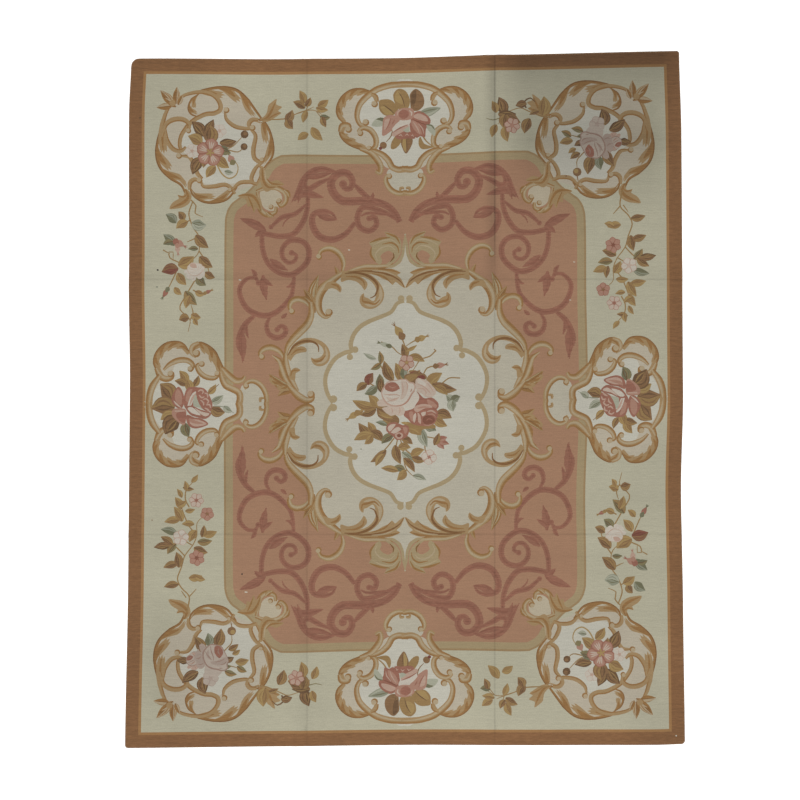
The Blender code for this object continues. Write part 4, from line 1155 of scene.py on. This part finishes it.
def cloth_ring(inset):
    """The cloth's outline in the even rectangle, in metres, with its rounded corners."""
    ring = []
    corners = [("low_left", -1, -1, 180), ("low_right", 1, -1, 270), ("high_right", 1, 1, 0), ("high_left", -1, 1, 90)]
    for name, side_x, side_y, first in corners:
        radius = CORNER_ROUNDS[name]
        for angle in np.radians(np.linspace(first, first + 90, 7)):
            x = side_x * (WIDTH / 2 - radius) + (radius - inset) * math.cos(angle)
            y = side_y * (LENGTH / 2 - radius) + (radius - inset) * math.sin(angle)
            ring.append((round(x, 9), round(y, 9)))
    filled = []
    for start, end in zip(ring, ring[1:] + ring[:1]):
        length = math.dist(start, end)
        count = max(1, round((LENGTH if abs(start[0] - end[0]) < 1e-6 else WIDTH) / 0.024)) if length > 0.5 else 1
        for number in range(count):
            filled.append((start[0] + (end[0] - start[0]) * number / count,
                           start[1] + (end[1] - start[1]) * number / count))
    return np.array(filled)


def thinned(ring, tolerance):
    """The ring without the points that lie on a straight line between their neighbours."""
    for first in (0, 1, 0, 1):
        before, after = np.roll(ring, 1, axis=0), np.roll(ring, -1, axis=0)
        run, arm = after - before, ring - before
        off = np.abs(run[:, 0] * arm[:, 1] - run[:, 1] * arm[:, 0]) / np.maximum(np.linalg.norm(run, axis=1), 1e-9)
        drop = (off < tolerance) & (np.arange(len(ring)) % 2 == first) & (np.linalg.norm(run, axis=1) < 16)
        if len(ring) - drop.sum() > 4:
            ring = ring[~drop]
    return ring


def covered(ring, places):
    """Which places a ring winds round."""
    low, high = ring.min(axis=0), ring.max(axis=0)
    near = np.nonzero(np.all((places >= low) & (places <= high), axis=1))[0]
    x, y = places[near, 0], places[near, 1]
    turns = np.zeros(len(near), int)
    for (x0, y0), (x1, y1) in zip(ring, np.roll(ring, -1, axis=0)):
        if y0 == y1:
            continue
        side = (x1 - x0) * (y - y0) - (x - x0) * (y1 - y0)
        turns += ((y0 <= y) & (y1 > y) & (side > 0)).astype(int) - ((y0 > y) & (y1 <= y) & (side < 0)).astype(int)
    return near[turns != 0]


def grid_places(length, folds, step):
    """Grid lines over one side of the cloth, close together on the folds."""
    lines = list(np.arange(-length / 2 + step, length / 2 - step / 2, step))
    for fold in folds:
        lines = [place for place in lines if abs(place - fold[0]) > fold[4] * 1.05]
        lines += [fold[0] + share * fold[4] for share in (-1, -0.7, -0.45, -0.25, -0.1, 0, 0.1, 0.25, 0.45, 0.7, 1)]
    return sorted(lines)


def web(shapes, tolerance, grid_step):
    """The places, triangles and yarn numbers of one face of the cloth."""
    outline = cloth_ring(SELVEDGE_INSET) / SQUARE - middle_squares
    rings = [outline] + [thinned(polygon, tolerance) for polygon, yarn in shapes]
    owner = np.concatenate([np.full(len(ring), number) for number, ring in enumerate(rings)])
    places = np.vstack(rings)
    starts = np.cumsum([0] + [len(ring) for ring in rings])
    following = np.arange(len(places)) + 1
    following[starts[1:] - 1] = starts[:-1]
    hidden = np.zeros(len(places), bool)
    for number in range(2, len(rings)):
        under = np.zeros(len(places), bool)
        under[covered(rings[number], places[:starts[number]])] = True
        hidden |= under & under[following]
    hidden[:starts[1]] = False
    kept = ~hidden
    used = np.zeros(len(places), bool)
    used[kept] = True
    used[following[kept]] = True
    numbers = np.cumsum(used) - 1
    edges = np.column_stack([numbers[:], numbers[following]])[kept]
    xs = np.array(grid_places(WIDTH, FOLDS_ALONG_Y, grid_step)) / SQUARE - middle_squares[0]
    ys = np.array(grid_places(LENGTH, FOLDS_ALONG_X, grid_step)) / SQUARE - middle_squares[1]
    grid = np.array([(x, y) for x in xs for y in ys])
    points = np.vstack([places[used], grid])
    made = geometry.delaunay_2d_cdt([Vector(p) for p in points], edges.tolist(), [], 0, 0.02, False)
    spots = np.array([(vert[0], vert[1]) for vert in made[0]])
    triangles = np.array(made[2])
    a, b, c = spots[triangles[:, 0]], spots[triangles[:, 1]], spots[triangles[:, 2]]
    area = ((b - a)[:, 0] * (c - a)[:, 1] - (b - a)[:, 1] * (c - a)[:, 0]) / 2
    triangles[area < 0] = triangles[area < 0][:, ::-1]
    triangles = triangles[np.abs(area) > 1e-5]
    centres = spots[triangles].mean(axis=1)
    inner = np.zeros(len(triangles), bool)
    inner[covered(outline, centres)] = True
    triangles, centres = triangles[inner], centres[inner]
    names = list(YARNS)
    yarn_of = np.zeros(len(triangles), int)
    for (polygon, yarn), ring in zip(shapes, rings[1:]):
        yarn_of[covered(ring, centres)] = names.index(yarn)
    return spots, triangles, yarn_of, outline


def fold_lift(even):
    """The underside's height over the floor at places of the even rectangle: the highest fold there."""
    lift = np.zeros(len(even))
    for folds, across, along, length in ((FOLDS_ALONG_Y, 0, 1, LENGTH), (FOLDS_ALONG_X, 1, 0, WIDTH)):
        for place, kind, start, end, reach in folds:
            share = np.clip(even[:, along] / length + 0.5, 0, 1)
            height = start + (end - start) * share
            away = np.minimum(np.abs(even[:, across] - place) / reach, 1)
            trough = height * away * (1 - away) ** 2 * 27 / 4
            ridge = height * np.cos(away * math.pi / 2) ** 2
            lift = np.maximum(lift, trough if kind == "trough" else ridge)
    return lift


ring_spread = spread_on_floor(cloth_ring(0))
box_middle = (ring_spread.min(axis=0) + ring_spread.max(axis=0)) / 2


def laid(spots, height):
    """Places of the web, in squares, as points of the cloth on the floor."""
    even = (spots + middle_squares) * SQUARE
    return np.column_stack([spread_on_floor(even) - box_middle, fold_lift(even) + height])


top_spots, top_triangles, top_yarns, ring_top = web(woven, 0.16, 0.07)
wide_shapes = [(polygon, yarn) for polygon, yarn in woven
               if np.ptp(polygon[:, 0]) * np.ptp(polygon[:, 1]) > 400]
low_spots, low_triangles, low_yarns, ring_low = web(wide_shapes, 0.8, 0.12)
print("top", len(top_triangles), "underside", len(low_triangles), flush=True)

# The cloth is put together: the face, the underside, and the rolled edge between them.
points = [laid(top_spots, THICKNESS), laid(low_spots, 0.0)]
low_first = len(top_spots)
rim_first = low_first + len(low_spots)
rings_round_edge = [(0.00035, THICKNESS - 0.00035), (0.0, THICKNESS - 0.0011), (0.0, 0.0011), (0.00035, 0.00035)]
for inset, height in rings_round_edge:
    points.append(laid(cloth_ring(inset) / SQUARE - middle_squares, height))


def nearest(spots, ring):
    """The numbers of the web's places that the outline's points became."""
    return [int(np.argmin(np.sum((spots - place) ** 2, axis=1))) for place in ring]


count = len(ring_top)
loops = [nearest(top_spots, ring_top)]
loops += [[rim_first + number * count + i for i in range(count)] for number in range(len(rings_round_edge))]
loops.append([low_first + number for number in nearest(low_spots, ring_low)])
rim_faces = []
for upper, lower in zip(loops, loops[1:]):
    for i in range(count):
        j = (i + 1) % count
        rim_faces.append((upper[i], lower[i], lower[j]))
        rim_faces.append((upper[i], lower[j], upper[j]))
faces = np.vstack([top_triangles, low_triangles[:, ::-1] + low_first, np.array(rim_faces)])
names = list(YARNS)
face_yarns = np.concatenate([top_yarns, low_yarns, np.full(len(rim_faces), names.index("border brown"))])
points = np.vstack(points)
cloth_mesh = bpy.data.meshes.new("rug_wool")
cloth_mesh.from_pydata(points.tolist(), [], faces.tolist())
cloth_mesh.update()
used_points = np.zeros(len(points), bool)
used_points[faces.ravel()] = True
clean = bmesh.new()
clean.from_mesh(cloth_mesh)
clean.verts.ensure_lookup_table()
bmesh.ops.delete(clean, geom=[vert for vert, used in zip(clean.verts, used_points) if not used], context="VERTS")
clean.to_mesh(cloth_mesh)
clean.free()
shades = np.array([YARNS[name] for name in names]) / 255.0
linear = np.where(shades <= 0.04045, shades / 12.92, ((shades + 0.055) / 1.055) ** 2.4)
corner_colours = np.ones((len(faces), 3, 4))
corner_colours[:, :, :3] = linear[face_yarns][:, None, :] * DYE_DEPTH
colours = cloth_mesh.color_attributes.new("yarn", "FLOAT_COLOR", "CORNER")
colours.data.foreach_set("color", corner_colours.ravel())
uv = cloth_mesh.uv_layers.new(name="OFBake")
corner_points = points[faces.ravel()]
size = corner_points.max(axis=0)[:2] - corner_points.min(axis=0)[:2]
even_share = (corner_points[:, :2] - corner_points.min(axis=0)[:2]) / size
top_corners = np.repeat(np.arange(len(faces)) < len(top_triangles), 3)
low_corners = np.repeat((np.arange(len(faces)) >= len(top_triangles)) & (np.arange(len(faces)) < len(top_triangles) + len(low_triangles)), 3)
uv_places = np.where(top_corners[:, None], even_share * (0.785, 0.98) + 0.01, even_share * (0.17, 0.212) + (0.815, 0.01))
rim_corners = ~top_corners & ~low_corners
rim_heights = corner_points[:, 2:3] / 0.008
uv_places[rim_corners] = (even_share * (0.17, 0.212) + (0.815, 0.25))[rim_corners]
uv.data.foreach_set("uv", uv_places.ravel())
rug = bpy.data.objects.new("rug_cloth", cloth_mesh)
bpy.context.collection.objects.link(rug)
for polygon in cloth_mesh.polygons:
    polygon.use_smooth = True
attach(rug, "root")
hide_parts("rug")


def new_material(name, roughness=0.9):
    material = bpy.data.materials.new(name)
    material.use_nodes = True
    shader = material.node_tree.nodes["Principled BSDF"]
    shader.inputs["Roughness"].default_value = roughness
    return material, material.node_tree, shader


# The wool. Each yarn varies a little in its dye from row to row, the wefts show as fine streaks across
# the rug, and old dirt lies in soft clouds. Shade is painted along the fold lines and in broad patches, and light in
# others.
def add(tree, kind, values=(), **settings):
    """A node with its settings, and its unlinked inputs by name or number."""
    node = tree.nodes.new(kind)
    for key, value in settings.items():
        setattr(node, key, value)
    for key, value in dict(values).items():
        node.inputs[key].default_value = value
    return node


def arithmetic(tree, operation, first, second=None):
    """A Math node of two sockets or numbers."""
    node = tree.nodes.new("ShaderNodeMath")
    node.operation = operation
    for number, value in enumerate((first, second)):
        if isinstance(value, (int, float)):
            node.inputs[number].default_value = value
        elif value is not None:
            tree.links.new(value, node.inputs[number])
    return node.outputs[0]


def clouds(tree, place, scale, detail=2.0, stretch=(1, 1, 1)):
    """Noise from 0 to 1 over the object's own places, stretched by its scale along each axis."""
    mapping = add(tree, "ShaderNodeMapping", {"Scale": stretch})
    tree.links.new(place, mapping.inputs["Vector"])
    noise = add(tree, "ShaderNodeTexNoise", {"Scale": scale, "Detail": detail, "Roughness": 0.55})
    tree.links.new(mapping.outputs["Vector"], noise.inputs["Vector"])
    return noise.outputs["Fac"]


def fold_line_group():
    """A node group that is 1 on a fold line and falls to 0 at its width, between two ends."""
    group = bpy.data.node_groups.new("Fold Line", "ShaderNodeTree")
    for name, value in (("Across", 0.0), ("Along", 0.0), ("Place", 0.0), ("Width", 0.01), ("From", -1.5), ("To", 1.5)):
        socket = group.interface.new_socket(name, in_out="INPUT", socket_type="NodeSocketFloat")
        socket.default_value = value
    group.interface.new_socket("Mask", in_out="OUTPUT", socket_type="NodeSocketFloat")
    given = group.nodes.new("NodeGroupInput").outputs
    result = group.nodes.new("NodeGroupOutput")
    away = arithmetic(group, "ABSOLUTE", arithmetic(group, "SUBTRACT", given["Across"], given["Place"]))
    near = arithmetic(group, "SUBTRACT", 1.0, arithmetic(group, "DIVIDE", away, given["Width"]))
    near = arithmetic(group, "POWER", arithmetic(group, "MAXIMUM", near, 0.0), 1.6)
    for first, second in ((given["Along"], given["From"]), (given["To"], given["Along"])):
        past = arithmetic(group, "MULTIPLY", arithmetic(group, "SUBTRACT", first, second), 6.0)
        near = arithmetic(group, "MULTIPLY", near, arithmetic(group, "MINIMUM", arithmetic(group, "MAXIMUM", past, 0.0), 1.0))
    group.links.new(near, result.inputs["Mask"])
    return group


wool, tree, shader = new_material("Wool tapestry", 0.92)
place = add(tree, "ShaderNodeTexCoord").outputs["Object"]
parts = add(tree, "ShaderNodeSeparateXYZ")
tree.links.new(place, parts.inputs[0])
yarn_node = add(tree, "ShaderNodeVertexColor", layer_name="yarn")
# Each pattern of light and dark: its scale, its stretch across and along the rug, and how deep it is.
UNEVENNESS = [
    ("weft streaks", 1.0, 2.0, (26, 260, 1), 0.15),
    ("long wefts", 1.0, 2.0, (3.2, 150, 1), 0.07),
    ("dye lots", 1.0, 3.0, (0.7, 7, 1), 0.07),
    ("warp bumps", 1.0, 1.0, (210, 190, 1), 0.16),
    ("old dirt", 3.1, 6.0, (1, 1, 1), 0.10),
    ("broad fading", 0.8, 2.0, (1, 1, 1), 0.06),
]
shade = None
for name, scale, detail, stretch, depth in UNEVENNESS:
    cloud = clouds(tree, place, scale, detail, stretch)
    change = arithmetic(tree, "ADD", arithmetic(tree, "MULTIPLY", arithmetic(tree, "SUBTRACT", cloud, 0.5), depth * 2), 1.0)
    shade = change if shade is None else arithmetic(tree, "MULTIPLY", shade, change)
# The border and the reds are hatched: rows of two close shades, which show most in the dark yarns.
lightness = add(tree, "ShaderNodeRGBToBW")
tree.links.new(yarn_node.outputs["Color"], lightness.inputs[0])
dark = arithmetic(tree, "MULTIPLY", arithmetic(tree, "SUBTRACT", 0.125, lightness.outputs[0]), 20.0)
dark = arithmetic(tree, "MINIMUM", arithmetic(tree, "MAXIMUM", dark, 0.0), 1.0)
for stretch, depth in (((34, 210, 1), 0.34), ((5, 75, 1), 0.22)):
    cloud = clouds(tree, place, 1.0, 2.0, stretch)
    change = arithmetic(tree, "MULTIPLY", arithmetic(tree, "MULTIPLY", arithmetic(tree, "SUBTRACT", cloud, 0.5), depth * 2), dark)
    shade = arithmetic(tree, "MULTIPLY", shade, arithmetic(tree, "ADD", change, 1.0))
# Painted shade and light in bands: dark lines on the creases (painted crease shade with some soil), a soft
# painted shadow beside the strong crease, broad painted shade at the top right and the bottom left, and
# painted light at the top and bottom middle, where the depth is negative. Columns: across or along, the
# place, width, first and last place, and how dark each is.
PAINTED_SHADE_AND_LIGHT = [
    ("Y", 1.15, 0.48, 0.38, 1.25, 0.32), ("Y", 1.48, 0.42, -0.95, 0.30, -0.12), ("Y", -1.48, 0.36, -0.70, 1.10, -0.10),
    ("Y", -1.15, 0.40, -1.25, -0.62, 0.12),
    ("Y", 1.54, 0.30, 0.36, 1.30, 0.42), ("Y", 1.50, 0.60, 0.34, 1.30, 0.14),
    ("X", 0.3955, 0.008, 0.55, 1.60, 0.42), ("X", 0.383, 0.050, 0.45, 1.60, 0.20), ("X", 0.3955, 0.007, -1.6, 0.6, 0.20),
    ("X", -0.432, 0.008, -1.6, 1.6, 0.16), ("X", -0.445, 0.05, -1.6, 1.6, 0.06), ("Y", 0.530, 0.008, -1.3, 1.3, 0.14),
    ("Y", 0.545, 0.04, -1.3, 0.5, 0.09), ("Y", -0.594, 0.008, -1.3, 1.3, 0.14),
]
fold_group = fold_line_group()
# Each row multiplies the wool's colour by painted shade, or by painted light where its depth is negative.
for axis, where, width, low, high, depth in PAINTED_SHADE_AND_LIGHT:
    fold = add(tree, "ShaderNodeGroup", node_tree=fold_group)
    for key, value in (("Place", where), ("Width", width), ("From", low), ("To", high)):
        fold.inputs[key].default_value = value
    tree.links.new(parts.outputs[axis], fold.inputs["Across"])
    tree.links.new(parts.outputs["Y" if axis == "X" else "X"], fold.inputs["Along"])
    painted_shading = arithmetic(tree, "SUBTRACT", 1.0, arithmetic(tree, "MULTIPLY", fold.outputs["Mask"], depth))
    shade = arithmetic(tree, "MULTIPLY", shade, painted_shading)
scaled = add(tree, "ShaderNodeVectorMath", operation="SCALE")
tree.links.new(yarn_node.outputs["Color"], scaled.inputs[0])
tree.links.new(shade, scaled.inputs["Scale"])
tree.links.new(scaled.outputs[0], shader.inputs["Base Color"])
bump = add(tree, "ShaderNodeBump", {"Strength": 0.5, "Distance": 0.0012})
ribs = arithmetic(tree, "ADD", clouds(tree, place, 1.0, 2.0, (14, 420, 1)), clouds(tree, place, 1.0, 1.0, (360, 120, 1)))
tree.links.new(ribs, bump.inputs["Height"])
tree.links.new(bump.outputs["Normal"], shader.inputs["Normal"])
shader.inputs["Sheen Weight"].default_value = 0.08
shader.inputs["Specular IOR Level"].default_value = 0.2
rug.data.materials.append(wool)

# The oversewn edge. The raw sides are rolled over and whipped with brown wool, one stitch every 7 mm.
# Each stitch is a short fat thread over the edge, and they follow the cloth's outline all round.
def oversewing_group(stitch, thread):
    """Geometry Nodes: stitches set along a closed line, each turned across it."""
    group = bpy.data.node_groups.new("Oversewing", "GeometryNodeTree")
    group.interface.new_socket("Edge", in_out="INPUT", socket_type="NodeSocketGeometry")
    for name, value in (("Stitch Spacing", 0.007), ("Unevenness", 0.12)):
        socket = group.interface.new_socket(name, in_out="INPUT", socket_type="NodeSocketFloat")
        socket.default_value = value
    group.interface.new_socket("Stitches", in_out="OUTPUT", socket_type="NodeSocketGeometry")
    given = group.nodes.new("NodeGroupInput").outputs
    result = group.nodes.new("NodeGroupOutput")
    curve = group.nodes.new("GeometryNodeMeshToCurve")
    even = group.nodes.new("GeometryNodeResampleCurve")
    if "Mode" in even.inputs:
        even.inputs["Mode"].default_value = "Length"
    else:
        even.mode = "LENGTH"
    tangent = group.nodes.new("GeometryNodeInputTangent")
    turn = group.nodes.new("FunctionNodeAlignRotationToVector")
    turn.axis = "X"
    turn.pivot_axis = "Z"
    wobble = group.nodes.new("FunctionNodeRandomValue")
    wobble.data_type = "FLOAT"
    wobble.inputs["Seed"].default_value = 7
    lean = group.nodes.new("ShaderNodeMath")
    lean.operation = "MULTIPLY"
    both = group.nodes.new("ShaderNodeCombineXYZ")
    rotate = group.nodes.new("FunctionNodeRotateRotation")
    rotate.rotation_space = "LOCAL"
    to_rotation = group.nodes.new("FunctionNodeEulerToRotation")
    source = group.nodes.new("GeometryNodeObjectInfo")
    source.inputs["Object"].default_value = stitch
    scatter = group.nodes.new("GeometryNodeInstanceOnPoints")
    real = group.nodes.new("GeometryNodeRealizeInstances")
    paint = group.nodes.new("GeometryNodeSetMaterial")
    paint.inputs["Material"].default_value = thread
    link = group.links.new
    link(given["Edge"], curve.inputs["Mesh"])
    link(curve.outputs["Curve"], even.inputs["Curve"])
    link(given["Stitch Spacing"], even.inputs["Length"])
    link(tangent.outputs["Tangent"], turn.inputs["Vector"])
    random_output = [socket for socket in wobble.outputs if socket.enabled][0]
    for socket in wobble.inputs:
        if socket.enabled and socket.name == "Min":
            socket.default_value = -1.0
        if socket.enabled and socket.name == "Max":
            socket.default_value = 1.0
    link(random_output, lean.inputs[0])
    link(given["Unevenness"], lean.inputs[1])
    link(lean.outputs[0], both.inputs["Z"])
    link(both.outputs[0], to_rotation.inputs[0])
    link(turn.outputs["Rotation"], rotate.inputs["Rotation"])
    link(to_rotation.outputs[0], rotate.inputs["Rotate By"])
    link(even.outputs["Curve"], scatter.inputs["Points"])
    link(source.outputs["Geometry"], scatter.inputs["Instance"])
    link(rotate.outputs[0], scatter.inputs["Rotation"])
    link(scatter.outputs["Instances"], real.inputs["Geometry"])
    link(real.outputs["Geometry"], paint.inputs["Geometry"])
    link(paint.outputs["Geometry"], result.inputs["Stitches"])
    return group


edge_wool, edge_tree, edge_shader = new_material("Edge wool", 0.95)
edge_place = add(edge_tree, "ShaderNodeTexCoord").outputs["Object"]
edge_ramp = add(edge_tree, "ShaderNodeValToRGB")
edge_ramp.color_ramp.elements[0].color = (0.115, 0.062, 0.030, 1)
edge_ramp.color_ramp.elements[1].color = (0.225, 0.125, 0.062, 1)
edge_ramp.color_ramp.elements[0].position = 0.25
edge_ramp.color_ramp.elements[1].position = 0.75
edge_tree.links.new(clouds(edge_tree, edge_place, 42.0, 3.0), edge_ramp.inputs["Fac"])
edge_tree.links.new(edge_ramp.outputs["Color"], edge_shader.inputs["Base Color"])
edge_shader.inputs["Specular IOR Level"].default_value = 0.2

stitch_mesh = bmesh.new()
bmesh.ops.create_uvsphere(stitch_mesh, u_segments=6, v_segments=4, radius=1.0)
for vert in stitch_mesh.verts:
    x, y, z = vert.co
    vert.co = (x * 0.0017, z * 0.0036, y * 0.0008)
stitch_data = bpy.data.meshes.new("stitch")
stitch_mesh.to_mesh(stitch_data)
stitch_mesh.free()
stitch = bpy.data.objects.new("stitch", stitch_data)
edge_ring = laid(cloth_ring(0.0030) / SQUARE - middle_squares, THICKNESS - 0.0001)
edge_line = bpy.data.meshes.new("edge_line")
edge_line.from_pydata(edge_ring.tolist(), [(i, (i + 1) % len(edge_ring)) for i in range(len(edge_ring))], [])
edge = bpy.data.objects.new("edge_line", edge_line)
bpy.context.collection.objects.link(edge)
modifier = edge.modifiers.new("Oversewing", "NODES")
modifier.node_group = oversewing_group(stitch, edge_wool)
bpy.context.view_layer.update()
sewn = bpy.data.meshes.new_from_object(edge.evaluated_get(bpy.context.evaluated_depsgraph_get()))
edge.modifiers.remove(modifier)
bpy.data.objects.remove(edge)
edge_stitching = bpy.data.objects.new("edge_stitching", sewn)
bpy.context.collection.objects.link(edge_stitching)
for polygon in sewn.polygons:
    polygon.use_smooth = True
bpy.data.objects.remove(stitch)
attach(edge_stitching, "root")

floor_mesh = bpy.data.meshes.new("floor")
floor_mesh.from_pydata([(-6, -6, 0), (6, -6, 0), (6, 6, 0), (-6, 6, 0)], [], [(0, 1, 2, 3)])
floor = bpy.data.objects.new("floor", floor_mesh)
bpy.context.collection.objects.link(floor)
pale, pale_tree, pale_shader = new_material("Pale studio floor", 0.8)
pale_shader.inputs["Base Color"].default_value = (0.9, 0.9, 0.9, 1)
floor_mesh.materials.append(pale)

light_data = bpy.data.lights.new("soft_key", "AREA")
light_data.energy = 748
light_data.color = (1.0, 0.992, 0.972)
light_data.size = 7.5
light = bpy.data.objects.new("soft_key", light_data)
light.location = (-0.6, -1.6, 8.5)
light.rotation_euler = Vector((0.6, 1.6, -8.5)).to_track_quat("-Z", "Y").to_euler()
bpy.context.collection.objects.link(light)
world = bpy.data.worlds.new("studio")
bpy.context.scene.world = world
world.use_nodes = True
world.node_tree.nodes["Background"].inputs["Color"].default_value = (1, 1, 1, 1)
world.node_tree.nodes["Background"].inputs["Strength"].default_value = 0.85

camera_data = bpy.data.cameras.new("camera")
camera_data.lens = 85
camera = bpy.data.objects.new("camera", camera_data)
camera.location = (-0.022, -0.002, 8.33)
bpy.context.collection.objects.link(camera)
bpy.context.scene.camera = camera
bpy.context.scene.view_settings.view_transform = "Standard"
